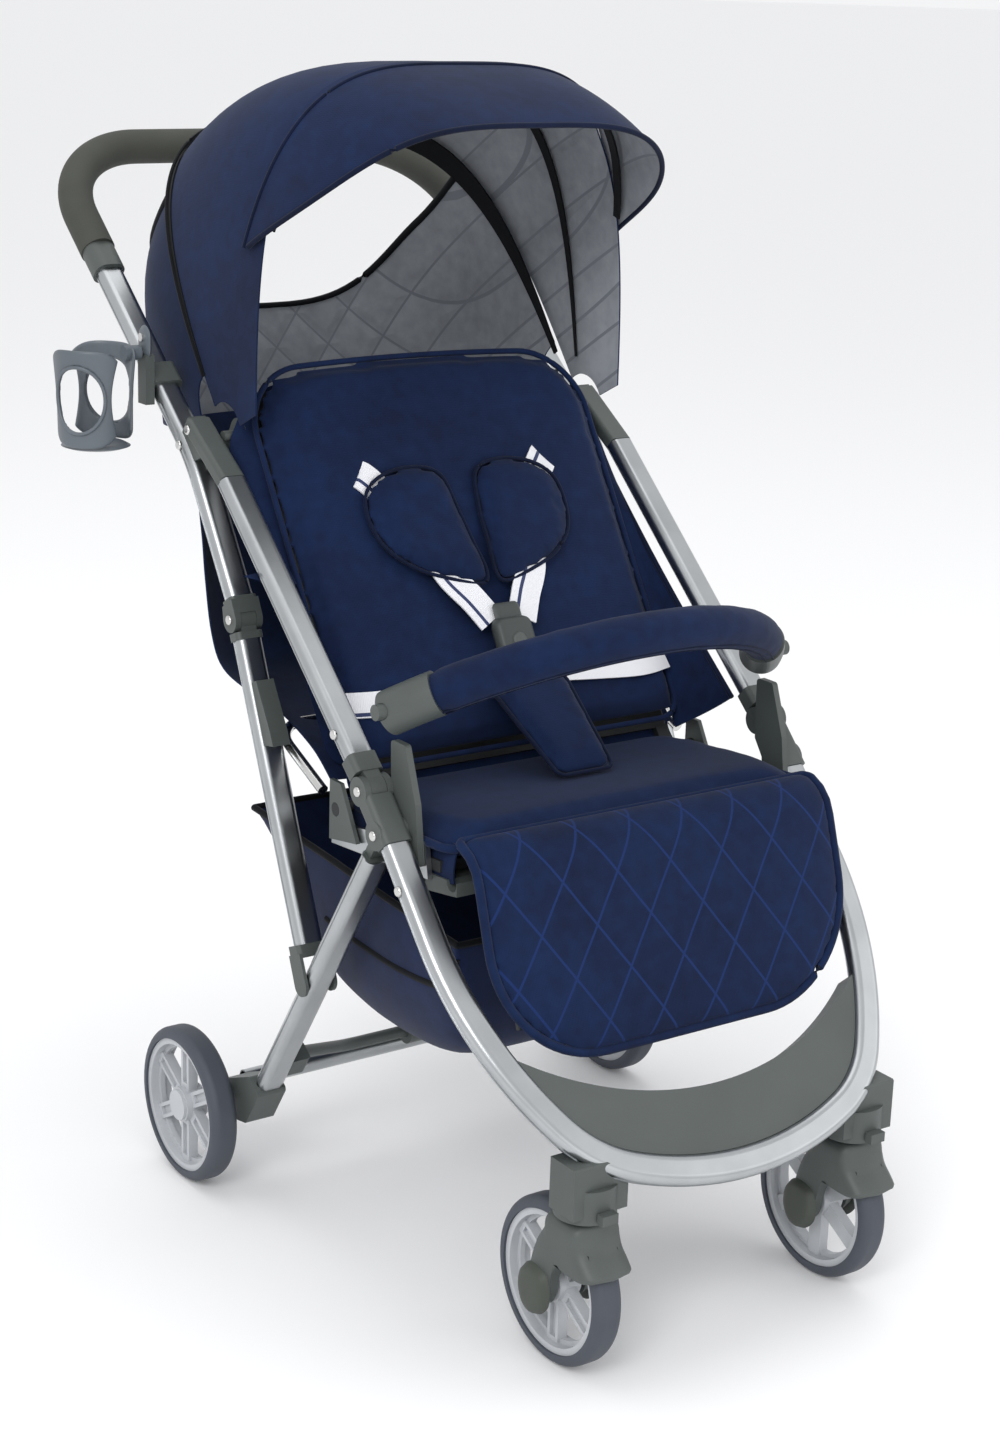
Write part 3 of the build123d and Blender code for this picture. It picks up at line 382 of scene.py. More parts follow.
def outwards(piece):
    activate(piece)
    bpy.ops.object.mode_set(mode="EDIT")
    bpy.ops.mesh.select_all(action="SELECT")
    bpy.ops.mesh.remove_doubles(threshold=1e-5)
    bpy.ops.mesh.normals_make_consistent(inside=False)
    bpy.ops.object.mode_set(mode="OBJECT")


def thicken(piece, wall, offset=-1.0, lining=None):
    """Give a sheet its wall; the inner side takes the lining material."""
    settings = {"thickness": wall, "offset": offset, "use_even_offset": True}
    if lining:
        piece.data.materials.append(lining)
        settings["material_offset"] = 1
    modifier(piece, "SOLIDIFY", **settings)


def soften(piece, levels=1):
    modifier(piece, "SUBSURF", levels=levels, render_levels=levels)


def rope(name, points, radius, material, closed=False, sides=8, flat=1.0):
    """Round or flattened piping along points."""
    rows = []
    count = len(points)
    for i, point in enumerate(points):
        before = Vector(points[(i - 1) % count] if closed or i else points[i])
        after = Vector(points[(i + 1) % count] if closed or i < count - 1 else points[i])
        run = (after - before).normalized()
        helper = Vector((1, 0, 0)) if abs(run.x) < 0.8 else Vector((0, 0, 1))
        across = run.cross(helper).normalized()
        up = across.cross(run).normalized()
        ring = []
        for k in range(sides):
            turn = 2 * pi * k / sides
            ring.append(Vector(point) + across * cos(turn) * radius + up * sin(turn) * radius * flat)
        rows.append(ring)
    if closed:
        rows.append(rows[0])
    piece = grid_piece(name, rows, material, closed=True)
    if not closed:
        first = tuple(range(sides))
        last = tuple(len(rows) * sides - sides + k for k in range(sides))
        mesh = bmesh.new()
        mesh.from_mesh(piece.data)
        mesh.verts.ensure_lookup_table()
        mesh.faces.new([mesh.verts[k] for k in reversed(first)])
        mesh.faces.new([mesh.verts[k] for k in last])
        mesh.to_mesh(piece.data)
        mesh.free()
    outwards(piece)
    smooth(piece, 60)
    return piece


def strap(name, points, normals, width, material, wall=1.6 * MM):
    """Flat webbing through points; the normals say which way its face looks."""
    rows = []
    for i, point in enumerate(points):
        before = Vector(points[max(i - 1, 0)])
        after = Vector(points[min(i + 1, len(points) - 1)])
        run = (after - before).normalized()
        normal = Vector(normals[i] if isinstance(normals, list) else normals)
        across = run.cross(normal).normalized()
        rows.append([Vector(point) + across * width * (k / 4 - 0.5) for k in range(5)])
    piece = grid_piece(name, rows, material)
    modifier(piece, "SOLIDIFY", thickness=wall, offset=0.0)
    smooth(piece, 50)
    return piece


def closed_curve(points, parts=5):
    """Smooth closed line through points (Catmull-Rom)."""
    count = len(points)
    line = []
    for i in range(count):
        p0, p1, p2, p3 = (points[(i + k - 1) % count] for k in range(4))
        for k in range(parts):
            t = k / parts
            line.append(
                tuple(
                    0.5 * (2 * b + (c - a) * t + (2 * a - 5 * b + 4 * c - d) * t * t + (3 * b - a - 3 * c + d) * t**3)
                    for a, b, c, d in zip(p0, p1, p2, p3)
                )
            )
    return line


def open_curve(points, parts=8):
    """Smooth open line through points."""
    line = []
    for i in range(len(points) - 1):
        p0, p1, p2, p3 = (Vector(points[min(max(i + k - 1, 0), len(points) - 1)]) for k in range(4))
        for k in range(parts):
            t = k / parts
            square = 2 * p0 - 5 * p1 + 4 * p2 - p3
            cube = 3 * p1 - p0 - 3 * p2 + p3
            line.append(0.5 * (2 * p1 + (p2 - p0) * t + square * t * t + cube * t**3))
    line.append(Vector(points[-1]))
    return line


# ---- canopy ----
def shell_point(radius, half_width, angle, turn):
    """Point of the canopy: angle about the canopy axis from +Y, turn from one side (0) to the other (180)."""
    share = abs(cos(radians(turn))) ** (2 / canopy_power)
    x = half_width * share * (1 if turn < 90 else -1)
    reach = radius * sin(radians(turn)) ** (2 / canopy_power)
    return Vector((x, canopy_axis[0] + reach * cos(radians(angle)), canopy_axis[1] + reach * sin(radians(angle))))


def turns(low, count):
    return [low + (180 - 2 * low) * k / count for k in range(count + 1)]


def side_point(x, place):
    """Point in metres from x and a side-view place, all in millimetres."""
    return Vector((x * MM, place[0] * MM, place[1] * MM))


def shell_at(radius, half_width, angle, x):
    """Point of the canopy at a given x, in metres."""
    reach = radius * (1 - min(abs(x) / half_width, 1) ** canopy_power) ** (1 / canopy_power)
    return Vector((x, canopy_axis[0] + reach * cos(radians(angle)), canopy_axis[1] + reach * sin(radians(angle))))


def ease(value):
    value = min(max(value, 0.0), 1.0)
    return value * value * (3 - 2 * value)


# rear panel: a U of quilted cloth round the open window, held by the zip bow
rear_radius, rear_width = canopy_radius - 0.010, 0.198
front_radius, front_width = canopy_radius - 0.004, 0.204
visor_radius, visor_width = canopy_radius + 0.002, 0.209
window_reach = 0.160
window_floor = 15.0


def window_edge(x):
    share = min(abs(x) / window_reach, 1.0)
    return window_floor + (zip_angle - window_floor) * (1 - (1 - share**3) ** (1 / 3))


def rear_point(angle, x):
    """Point of the rear cloth, which draws in below the bow towards its lower edge."""
    reach = rear_radius * (1 - 0.27 * ease((34 - angle) / 40))
    return shell_at(reach, rear_width, angle, x)


side_turn = degrees(acos((window_reach / rear_width) ** (canopy_power / 2)))
columns = []
for k in range(9):
    columns.append(rear_width * cos(radians(4 + (side_turn - 4) * k / 8)) ** (2 / canopy_power))
for k in range(1, 25):
    columns.append(window_reach * cos(pi / 2 * k / 24) ** (2 / 3) if k < 24 else 0.0)
columns[8] = window_reach
half = [x for x in columns if x > 0]
across_x = half + [0.0] + [-x for x in reversed(half)]
rows = []
steps = 16
for i in range(steps + 1):
    row = []
    for x in across_x:
        top = zip_angle if abs(x) >= window_reach - 1e-6 else window_edge(x)
        row.append(rear_point(-6 + (top + 6) * i / steps, x))
    rows.append(row)
rear_panel = grid_piece("canopy_rear_cloth", rows, navy)
outwards(rear_panel)
thicken(rear_panel, 1.6 * MM, lining=grey_quilt)
smooth(rear_panel, 50)
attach(rear_panel, "upper_frame")
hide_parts("canopy_rear_panel")
edge = [rear_point(window_edge(x), x) for x in across_x if abs(x) <= window_reach]
window_binding = rope("canopy_window_binding", edge, 4.2 * MM, black_tape, sides=10, flat=0.75)
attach(window_binding, "upper_frame")


# front panel: from the zip bow to the front bow, its side edge falling plumb in front of the hinge
def front_end(reach):
    """Angle at which the front panel ends for a reach from the axis."""
    plumb = 0.056
    if reach <= plumb * 1.12:
        return 153.0
    return max(bow_angle, 90 + degrees(pi / 2 - acos(min(plumb / reach, 1.0))))


def shell_reach(radius, turn):
    return radius * sin(radians(turn)) ** (2 / canopy_power)


lowest_turn = 0.9
panel_turns = [lowest_turn + (90 - lowest_turn) * (k / 36) ** 1.5 for k in range(37)]
panel_turns += [180 - t for t in reversed(panel_turns[:-1])]
rows = []
for i in range(19):
    row = []
    for t in panel_turns:
        end = front_end(shell_reach(front_radius, t))
        angle = zip_angle - 1.0 + (end - zip_angle + 1.0) * i / 18
        pull = 0.0035 * sin(pi * i / 18) * sin(radians(t)) ** 2
        row.append(shell_point(front_radius - pull, front_width, angle, t))
    rows.append(row)
front_panel = grid_piece("canopy_front_cloth", rows, navy)
outwards(front_panel)
thicken(front_panel, 1.6 * MM, lining=grey_quilt)
smooth(front_panel, 50)
zip_top = shell_point(front_radius, front_width, zip_angle, 90)
bow_top = shell_point(front_radius, front_width, bow_angle, 90)
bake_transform(front_panel)
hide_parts("canopy_front_panel")

# visor: the sun shade past the front bow
visor_low_turn = 18.5
visor_turns = [visor_low_turn + (180 - 2 * visor_low_turn) * k / 80 for k in range(81)]
rows = []
for i in range(13):
    row = []
    for t in visor_turns:
        inward = min(t, 180 - t) - visor_low_turn
        end = bow_angle + (visor_angle - bow_angle) * (1 - exp(-(inward + 0.6) / 12))
        share = i / 12
        angle = bow_angle - 1.5 + (end - bow_angle + 1.5) * share
        row.append(shell_point(visor_radius + 0.006 * share**1.5, visor_width, angle, t))
    rows.append(row)
visor_edge = rows[-1]
visor_seam = rows[1]
visor = grid_piece("canopy_visor_cloth", rows, navy)
outwards(visor)
thicken(visor, 2.0 * MM, lining=grey_quilt)
smooth(visor, 50)
visor_top = shell_point(visor_radius, visor_width, visor_angle, 90)
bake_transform(visor)
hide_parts("canopy_visor")
edge_binding = rope("visor_edge_binding", visor_edge, 2.6 * MM, navy_dark, sides=8)
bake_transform(edge_binding)
seam_piping = rope("visor_seam_piping", visor_seam, 2.0 * MM, navy_dark, sides=8)
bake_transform(seam_piping)


def shell_band(name, radius, half_width, start, end, low, material, wall):
    angles = (start, (start + end) / 2, end)
    rows = [[shell_point(radius, half_width, angle, t) for t in turns(low, 64)] for angle in angles]
    piece = grid_piece(name, rows, material)
    outwards(piece)
    thicken(piece, wall)
    smooth(piece, 50)
    return piece


zip_tape = shell_band(
    "canopy_zip_tape", front_radius + 0.002, front_width + 0.001, 51.4, 54.2, 3.0, black_tape, 1.0 * MM
)
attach(zip_tape, "upper_frame")
teeth = [shell_point(front_radius + 0.004, front_width + 0.002, 52.8, t) for t in turns(3.0, 90)]
zip_teeth = rope("canopy_zip_teeth", teeth, 1.8 * MM, black_tape, sides=6)
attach(zip_teeth, "upper_frame")
rear_bow = shell_band(
    "rear_bow_sleeve", rear_radius - 0.004, rear_width - 0.003, 50.5, 55.5, 3.0, black_tape, 2.0 * MM
)
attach(rear_bow, "upper_frame")
middle_bow = shell_band(
    "middle_bow_sleeve", front_radius - 0.005, front_width - 0.005, 80.0, 82.6, 2.0, black_tape, 2.0 * MM
)
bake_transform(middle_bow)
front_bow = shell_band(
    "front_bow_sleeve", visor_radius - 0.006, visor_width - 0.008, 106.0, 108.6, 24.0, black_tape, 2.0 * MM
)
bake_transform(front_bow)


# ---- pads ----
def pad_frame(origin, slope, lift=0.0):
    """Placing function: across, along the slope, and square to it, all in millimetres."""

    def place(u, v, w):
        return side_point(u, along(origin, slope, v, w + lift))

    return place


def rounded_outline(half_width, low, high, low_round, high_round, count=14):
    """Closed outline with its own corner radii at the low and the high end."""
    points = []
    for side, end, radius in ((1, low, low_round), (1, high, high_round), (-1, high, high_round), (-1, low, low_round)):
        inward = 1 if end == low else -1
        centre = (side * (half_width - radius), end + inward * radius)
        quarter = [pi / 2 * k / count for k in range(count + 1)]
        arc = []
        for a in quarter:
            arc.append((centre[0] + side * radius * sin(a), centre[1] - inward * radius * cos(a)))
        if (side, end) in ((1, high), (-1, low)):
            arc.reverse()
        points += arc
    dense = []
    for i, here in enumerate(points):
        after = points[(i + 1) % len(points)]
        span = sqrt((after[0] - here[0]) ** 2 + (after[1] - here[1]) ** 2)
        parts = max(1, int(span / 12))
        for k in range(parts):
            share = k / parts
            dense.append((here[0] + (after[0] - here[0]) * share, here[1] + (after[1] - here[1]) * share))
    return dense


def crowned_pad(name, outline, place, rise, fall, material, rings=16, power=4.0):
    """Closed cushion: a seam line all round, its faces crowned above and below it."""
    count = len(outline)
    cu = sum(p[0] for p in outline) / count
    cv = sum(p[1] for p in outline) / count
    verts, faces = [], []
    shares = [k / rings for k in range(1, rings + 1)]
    for side in (1, -1):
        for r in shares if side == 1 else shares[:-1]:
            swell = (1 - r**power) ** 0.5
            for u, v in outline:
                pu, pv = cu + (u - cu) * r, cv + (v - cv) * r
                w = rise * swell if side == 1 else -fall * swell
                verts.append(place(pu, pv, w))
    top_start, bottom_start = 0, rings * count
    verts.append(place(cu, cv, rise))
    verts.append(place(cu, cv, -fall))
    top_centre, bottom_centre = len(verts) - 2, len(verts) - 1
    for j in range(count):
        k = (j + 1) % count
        faces.append((top_centre, top_start + j, top_start + k))
        faces.append((bottom_centre, bottom_start + k, bottom_start + j))
        for i in range(rings - 1):
            a, b = top_start + i * count, top_start + (i + 1) * count
            faces.append((a + j, b + j, b + k, a + k))
            a = bottom_start + i * count
            b = bottom_start + (i + 1) * count if i < rings - 2 else top_start + (rings - 1) * count
            faces.append((a + j, a + k, b + k, b + j))
    piece = piece_of(name, verts, faces, material)
    outwards(piece)
    smooth(piece, 60)
    return piece


def piping(name, outline, place, radius, material, body, rise=0.0):
    piece = rope(name, [place(u, v, rise) for u, v in outline], radius * MM, material, closed=True)
    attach(piece, body)
    return piece


def puff(piece, pressure=4.0, cap=8.0, voxel=5.0, held=None, levels=1):
    """Sewn cloth over its filling: remesh, blow up a little with the seams held, and keep the result."""
    activate(piece)
    modifier(piece, "REMESH", mode="VOXEL", voxel_size=voxel * MM)
    start = [(v.co.copy(), v.normal.copy()) for v in piece.data.vertices]
    cloth = piece.modifiers.new("Cloth", "CLOTH")
    settings = cloth.settings
    settings.quality = 4
    settings.mass = 0.25
    settings.tension_stiffness = 12
    settings.compression_stiffness = 6
    settings.shear_stiffness = 5
    settings.bending_stiffness = 0.3
    settings.use_pressure = True
    settings.uniform_pressure_force = pressure
    settings.effector_weights.gravity = 0
    cloth.collision_settings.use_collision = False
    if held:
        group = piece.vertex_groups.new(name="sewn")
        for vertex in piece.data.vertices:
            grip = held(vertex.co)
            if grip > 0:
                group.add([vertex.index], grip, "REPLACE")
        settings.vertex_group_mass = "sewn"
        settings.pin_stiffness = 1.0
    scene = bpy.context.scene
    cloth.point_cache.frame_start = 1
    cloth.point_cache.frame_end = 20
    for step in range(1, 21):
        scene.frame_set(step)
    shape = piece.evaluated_get(bpy.context.evaluated_depsgraph_get()).data
    moved = []
    for (before, outward), vertex in zip(start, shape.vertices):
        swell = outward.dot(vertex.co - before)
        moved.append(before + outward * min(max(swell, 0.0), cap * MM))
    piece.modifiers.remove(cloth)
    scene.frame_set(1)
    for vertex, place in zip(piece.data.vertices, moved):
        vertex.co = place
    modifier(piece, "SMOOTH", factor=0.5, iterations=2)
    if levels:
        soften(piece, levels)
    smooth(piece, 80)


# back cushion on the backrest board
back_foot = (48.4, 444.8)
back_place = pad_frame(back_foot, back_slope, 11.0)
back_outline = [
    (u, v + 7 * (1 - (u / 186) ** 2) * ease((v - 300) / 60)) for u, v in rounded_outline(186, 2, 385, 22, 62)
]
back_cushion = crowned_pad("back_cushion", back_outline, back_place, 13, 10, navy)
puff(back_cushion, pressure=3.0, cap=6.0)
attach(back_cushion, "backrest")
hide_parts("back_pad")
piping("back_piping", back_outline, back_place, 2.8, navy, "backrest")

# seat cushion
seat_front = (-138.0, 446.0)
seat_fall = -3.7
seat_place = pad_frame(seat_front, seat_fall, -13.0)
seat_outline = rounded_outline(195, 2, 184, 22, 10)
seat_outline = [(u * (1 - 0.055 * ease((v - 90) / 90)), v) for u, v in seat_outline]
seat_cushion = crowned_pad("seat_cushion", seat_outline, seat_place, 13, 12, navy, power=10.0)
puff(seat_cushion, pressure=3.0, cap=6.0)
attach(seat_cushion, "chassis")
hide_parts("seat_pad")
piping("seat_piping", seat_outline, seat_place, 4.0, navy, "chassis")

# strip of liner that joins the seat to the backrest behind the two cushions
fold_line = open_curve([(0, 8, 424), (0, 36, 424), (0, 52, 436), (0, 57, 452), (0, 68, 470)], parts=5)
rows = [[Vector((u * 9.1 * MM, point[1] * MM, point[2] * MM)) for u in range(-20, 21)] for point in fold_line]
liner_fold = grid_piece("seat_back_liner", rows, navy)
outwards(liner_fold)
thicken(liner_fold, 1.6 * MM, offset=0.0)
smooth(liner_fold, 60)
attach(liner_fold, "chassis")

# leg rest cover: rolls over the seat's front edge and falls on the board
def legrest_place(u, v, w):
    """v runs from the seat seam down the leg rest."""
    turn_length = 46.0
    fall = 252.0
    if v < turn_length:
        share = v / turn_length
        slope = 184.0 + (fall - 184.0) * share
        y, z = -138.0, 441.0
        parts = 8
        for k in range(parts):
            here = radians(184.0 + (fall - 184.0) * (share * (k + 0.5) / parts))
            y += cos(here) * v / parts
            z += sin(here) * v / parts
    else:
        y, z = -138.0, 441.0
        for k in range(8):
            here = radians(184.0 + (fall - 184.0) * ((k + 0.5) / 8))
            y += cos(here) * turn_length / 8
            z += sin(here) * turn_length / 8
        slope = fall
        y += cos(radians(fall)) * (v - turn_length)
        z += sin(radians(fall)) * (v - turn_length)
    lean = radians(slope)
    return side_point(u, (y + w * sin(lean), z - w * cos(lean)))


leg_length = 206.0
leg_outline = rounded_outline(192, 0, leg_length, 8, 104, count=18)
leg_cover = crowned_pad("leg_rest_cover", leg_outline, legrest_place, 9, 8, navy_quilt, rings=26, power=6.0)


def quilt_lines(point):
    """Hold the cloth along the stitched diamonds."""
    u = point.x / MM
    v = (0.446 - point.z) / MM
    best = 1e9
    for sign in (1, -1):
        reach = (0.82 * u + sign * 0.57 * v) / 47
        best = min(best, abs(reach - round(reach)) * 47)
    return 1.0 if best < 2.6 else 0.0


puff(leg_cover, pressure=5.0, cap=1.5, voxel=4.0, held=quilt_lines)
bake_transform(leg_cover)
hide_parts("legrest_pad")
leg_piping = rope("leg_rest_piping", [legrest_place(u, v, 0) for u, v in leg_outline], 4.2 * MM, navy, closed=True)
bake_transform(leg_piping)

# crotch pad, standing between the legs up to the buckle
crotch_place = pad_frame((-58.0, 453.0), 32.0)
crotch_outline = [(u * (0.92 + 0.42 * v / 125), v) for u, v in rounded_outline(33, -2, 125, 8, 22)]
crotch_cover = crowned_pad("crotch_cover", crotch_outline, crotch_place, 7, 7, navy, rings=8)
puff(crotch_cover, pressure=3.0, cap=3.0, voxel=4.0)
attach(crotch_cover, "chassis")
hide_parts("crotch_pad")
piping("crotch_piping", crotch_outline, crotch_place, 2.0, navy_dark, "chassis")

# heart-shaped pair of shoulder pads
lobe = [(20, 262), (45, 272), (80, 268), (104, 252), (110, 225), (102, 195), (78, 172), (45, 158), (14, 150)]
lobe += [(5, 160), (8, 190), (12, 228)]


def shoulder_place(u, v, w):
    """The pads lie on the back cushion, their tips lifted a little by the straps."""
    lean = 34.0 + 7.0 * ease((235 - v) / 80)
    return side_point(u, along(back_foot, back_slope, v, lean + w))


for side, word in ((1, "left"), (-1, "right")):
    outline = closed_curve([(side * u, v) for u, v in lobe])
    if side == -1:
        outline.reverse()
    pad = crowned_pad(f"shoulder_pad_{word}", outline, shoulder_place, 8, 6, navy, rings=9)
    puff(pad, pressure=3.0, cap=3.0, voxel=4.0)
    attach(pad, "backrest")
    if side == 1:
        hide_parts("shoulder_pads")
    piping(f"shoulder_piping_{word}", outline, shoulder_place, 1.8, navy_dark, "backrest")
    x = side * -1
    x = side
    top = open_curve(
        [
            side_point(x * 106, along(back_foot, back_slope, 272, 22)),
            side_point(x * 102, along(back_foot, back_slope, 270, 30)),
            side_point(x * 88, along(back_foot, back_slope, 254, 31)),
        ]
    )
    over = strap(f"shoulder_strap_top_{word}", top, Vector((0, -0.85, 0.53)), 30 * MM, white_webbing)
    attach(over, "backrest")
    low = open_curve(
        [
            side_point(x * 56, along(back_foot, back_slope, 196, 38)),
            side_point(x * 47, along(back_foot, back_slope, 163, 40)),
            side_point(x * 30, along(back_foot, back_slope, 136, 42)),
            side_point(x * 17, along(back_foot, back_slope, 112, 43)),
        ]
    )
    down = strap(f"shoulder_strap_low_{word}", low, Vector((0, -0.85, 0.53)), 30 * MM, white_webbing)
    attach(down, "backrest")
    lap = open_curve(
        [
            side_point(x * 182, along(back_foot, back_slope, 60, 20)),
            side_point(x * 143, along(back_foot, back_slope, 54, 31)),
            side_point(x * 96, along(back_foot, back_slope, 57, 31)),
            side_point(x * 36, along(back_foot, back_slope, 62, 34)),
            side_point(x * 12, along(back_foot, back_slope, 66, 36)),
        ]
    )
    lap_strap = strap(f"lap_strap_{word}", lap, Vector((0, -0.85, 0.53)), 24 * MM, white_webbing)
    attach(lap_strap, "backrest")

# buckle: five-point body with a round release button, and one piece that stands for its two shoulder tongues
buckle_place = pad_frame(along((-58.0, 453.0), 32.0, 131.0), 60.0, 7.0)
buckle_outline = rounded_outline(21, 0, 46, 12, 9)
buckle_body = crowned_pad("buckle_body", buckle_outline, buckle_place, 9, 7, dark_plastic, rings=8, power=8.0)
button_outline = rounded_outline(9, 12, 30, 8.9, 8.9)
button = crowned_pad("buckle_button", button_outline, buckle_place, 11, 2, grey_plastic, rings=5, power=8.0)
tongue_outline = rounded_outline(15, 40, 60, 3, 5)
tongue = crowned_pad("buckle_tongue", tongue_outline, buckle_place, 3, 3, dark_plastic, rings=4, power=8.0)
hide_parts("buckle")
for part in (buckle_body, button, tongue):
    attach(part, "chassis")


# ---- bumper sleeve ----
bumper_half, bumper_rise, bumper_lean = 205.0, 124.0, 34.0
bumper_radius = (bumper_half**2 + bumper_rise**2) / (2 * bumper_rise)
bumper_span = degrees(acos((bumper_radius - bumper_rise) / bumper_radius))
bumper_trim = 12.0


def bumper_point(angle, out, up):
    """Point about the bumper's arc: angle from straight ahead, out along its radius, up square to it."""
    reach = bumper_radius + out
    local_x = reach * sin(radians(angle))
    local_y = bumper_rise - bumper_radius + reach * cos(radians(angle))
    lean = radians(bumper_lean)
    y = -50.0 - cos(lean) * local_y + up * sin(lean)
    z = 533.0 + sin(lean) * local_y + up * cos(lean)
    return Vector((local_x * MM, y * MM, z * MM))


rows = []
ends = bumper_span - bumper_trim
for i in range(141):
    angle = -ends + 2 * ends * i / 140
    ring = []
    gather = 1.0 - 0.10 * (1 - ease((ends - abs(angle)) / 3))
    for k in range(40):
        turn = 2 * pi * k / 40
        probe = Vector((angle * 0.09, cos(turn), sin(turn)))
        fold = 0.45 * noise.noise(probe * 2.2) + 0.25 * noise.noise(probe * 5.1)
        reach = (19.0 + fold) * gather
        ring.append(bumper_point(angle, reach * cos(turn), reach * sin(turn)))
    rows.append(ring)
bumper_sleeve = grid_piece("bumper_sleeve", rows, navy, closed=True)
outwards(bumper_sleeve)
smooth(bumper_sleeve, 70)
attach(bumper_sleeve, "bumper")
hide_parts("bumper_bar")
for turn, word in ((-78, "front"), (-100, "under")):
    out, up = 18.9 * cos(radians(turn)), 18.9 * sin(radians(turn))
    line = [bumper_point(-ends + 2 * ends * i / 160, out, up) for i in range(161)]
    seam = rope(f"bumper_seam_{word}", line, 0.9 * MM, navy_dark, sides=6)
    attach(seam, "bumper")

# ---- basket ----
basket_profile = open_curve(
    [(0, -128, 344), (0, -122, 270), (0, -98, 222), (0, -40, 201), (0, 30, 197)]
    + [(0, 100, 209), (0, 150, 252), (0, 190, 315), (0, 220, 366)],
    parts=6,
)
basket_half = 183.0
rows = []
for place in basket_profile:
    y, z = place[1], place[2]
    rim = 344 + (366 - 344) * (y + 128) / 348
    row = []
    for k in range(49):
        u = -1 + 2 * k / 48
        u = sin(u * pi / 2) if abs(u) < 1 else u
        depth = (1 - abs(u) ** 9) ** 0.5
        level = rim - (rim - z) * depth
        fold = 2.6 * noise.noise(Vector((u * 2.1, y * 0.012, level * 0.011))) * depth
        droop = -3.0 * ease(1 - abs(u)) * sin(pi * min(max((y + 128) / 348, 0), 1)) if depth < 0.3 else 0
        half = basket_half + 1.4 * noise.noise(Vector((y * 0.02, level * 0.02, u)))
        row.append(Vector((half * u * MM, (y + fold * 0.4) * MM, (level + fold + droop) * MM)))
    rows.append(row)
basket_shell = grid_piece("basket_shell", rows, basket_cloth)
activate(basket_shell)
thicken(basket_shell, 1.6 * MM, offset=0.0)
smooth(basket_shell, 60)
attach(basket_shell, "chassis")
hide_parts("basket")
rim_line = [row[0] for row in rows] + rows[-1][1:-1] + [row[-1] for row in reversed(rows)] + rows[0][-2:0:-1]
basket_binding = rope("basket_rim_binding", rim_line, 3.2 * MM, black_tape, closed=True)
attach(basket_binding, "chassis")
zip_row = []
for row, place in zip(rows[3:30], basket_profile[3:30]):
    zip_row.append(row[3] + Vector((-0.0015, 0, 0.0)))
basket_zip = rope("basket_zip", zip_row, 3.0 * MM, black_tape, sides=6, flat=0.6)
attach(basket_zip, "chassis")

# ---- side wings between the upright tubes and the back cushion ----
for side, word in ((-1, "left"), (1, "right")):
    rows = []
    for i in range(31):
        s = i / 30
        front = along((knee[0] / MM, knee[1] / MM), upper_slope, 34 + 330 * s, -10 - 5 * sin(pi * s))
        rear = along(back_foot, back_slope, -8 + 370 * s, 4)
        row = []
        for k in range(13):
            t = k / 12
            y = front[0] + (rear[0] - front[0]) * t
            z = front[1] + (rear[1] - front[1]) * t
            bulge = 5 * sin(pi * t) * (0.6 + 0.8 * noise.noise(Vector((s * 4, t * 2, side))))
            x = 203 + (182 - 203) * t**1.3 + bulge
            row.append(side_point(side * x, (y, z)))
        rows.append(row)
    wing = grid_piece(f"side_wing_{word}", rows, navy)
    outwards(wing)
    thicken(wing, 2.4 * MM, offset=0.0)
    smooth(wing, 60)
    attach(wing, "upper_frame")
    wing_edge = rope(f"side_wing_piping_{word}", [row[0] for row in rows], 2.6 * MM, navy_dark)
    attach(wing_edge, "upper_frame")
    rows = []
    for i in range(23):
        s = i / 22
        y = -132 + 178 * s
        top = 436 - 9 * s
        row = []
        for k in range(7):
            t = k / 6
            drop = (34 + 10 * sin(pi * s)) * t
            out = 186 + 4 * sin(pi * t * 0.7) + 1.5 * noise.noise(Vector((s * 6, t, side)))
            row.append(side_point(side * out, (y, top - drop)))
        rows.append(row)
    skirt = grid_piece(f"seat_skirt_{word}", rows, navy)
    outwards(skirt)
    thicken(skirt, 1.6 * MM, offset=0.0)
    smooth(skirt, 60)
    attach(skirt, "chassis")

# ---- pouch of slack cloth behind the backrest ----
side_line = open_curve(
    [(0, 352, 706), (0, 318, 672), (0, 303, 620), (0, 296, 575), (0, 284, 525), (0, 262, 497)]
    + [(0, 208, 486), (0, 150, 480), (0, 95, 462), (0, 62, 440)],
    parts=6,
)
middle_line = open_curve(
    [(0, 479, 697), (0, 430, 650), (0, 385, 605), (0, 350, 560), (0, 325, 510), (0, 290, 482)]
    + [(0, 225, 474), (0, 160, 464), (0, 95, 454), (0, 62, 436)],
    parts=6,
)
rows = []
for i, (side_end, middle) in enumerate(zip(side_line, middle_line)):
    share = i / (len(side_line) - 1)
    row = []
    for k in range(41):
        u = sin((-1 + k / 20) * pi / 2)
        inward = 1 - abs(u) ** 4
        y = side_end[1] + (middle[1] - side_end[1]) * inward
        z = side_end[2] + (middle[2] - side_end[2]) * inward
        fold = 5.0 * noise.noise(Vector((u * 2.4, share * 3.0, 0.3))) * sin(pi * share)
        row.append(side_point(194 * u, (y + fold * 0.5, z + fold)))
    rows.append(row)
pouch = grid_piece("back_pouch", rows, navy)
outwards(pouch)
thicken(pouch, 1.6 * MM, offset=0.0)
smooth(pouch, 60)
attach(pouch, "upper_frame")
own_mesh(pouch)

# padded cloth cover on the back of the backrest
cover_outline = rounded_outline(190, 14, 384, 20, 62)
cover_place = pad_frame(back_foot, back_slope, -16.0)
back_cover = crowned_pad("backrest_rear_cover", cover_outline, cover_place, 8, 9, navy, rings=12)
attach(back_cover, "backrest")
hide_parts("rear_curtain")

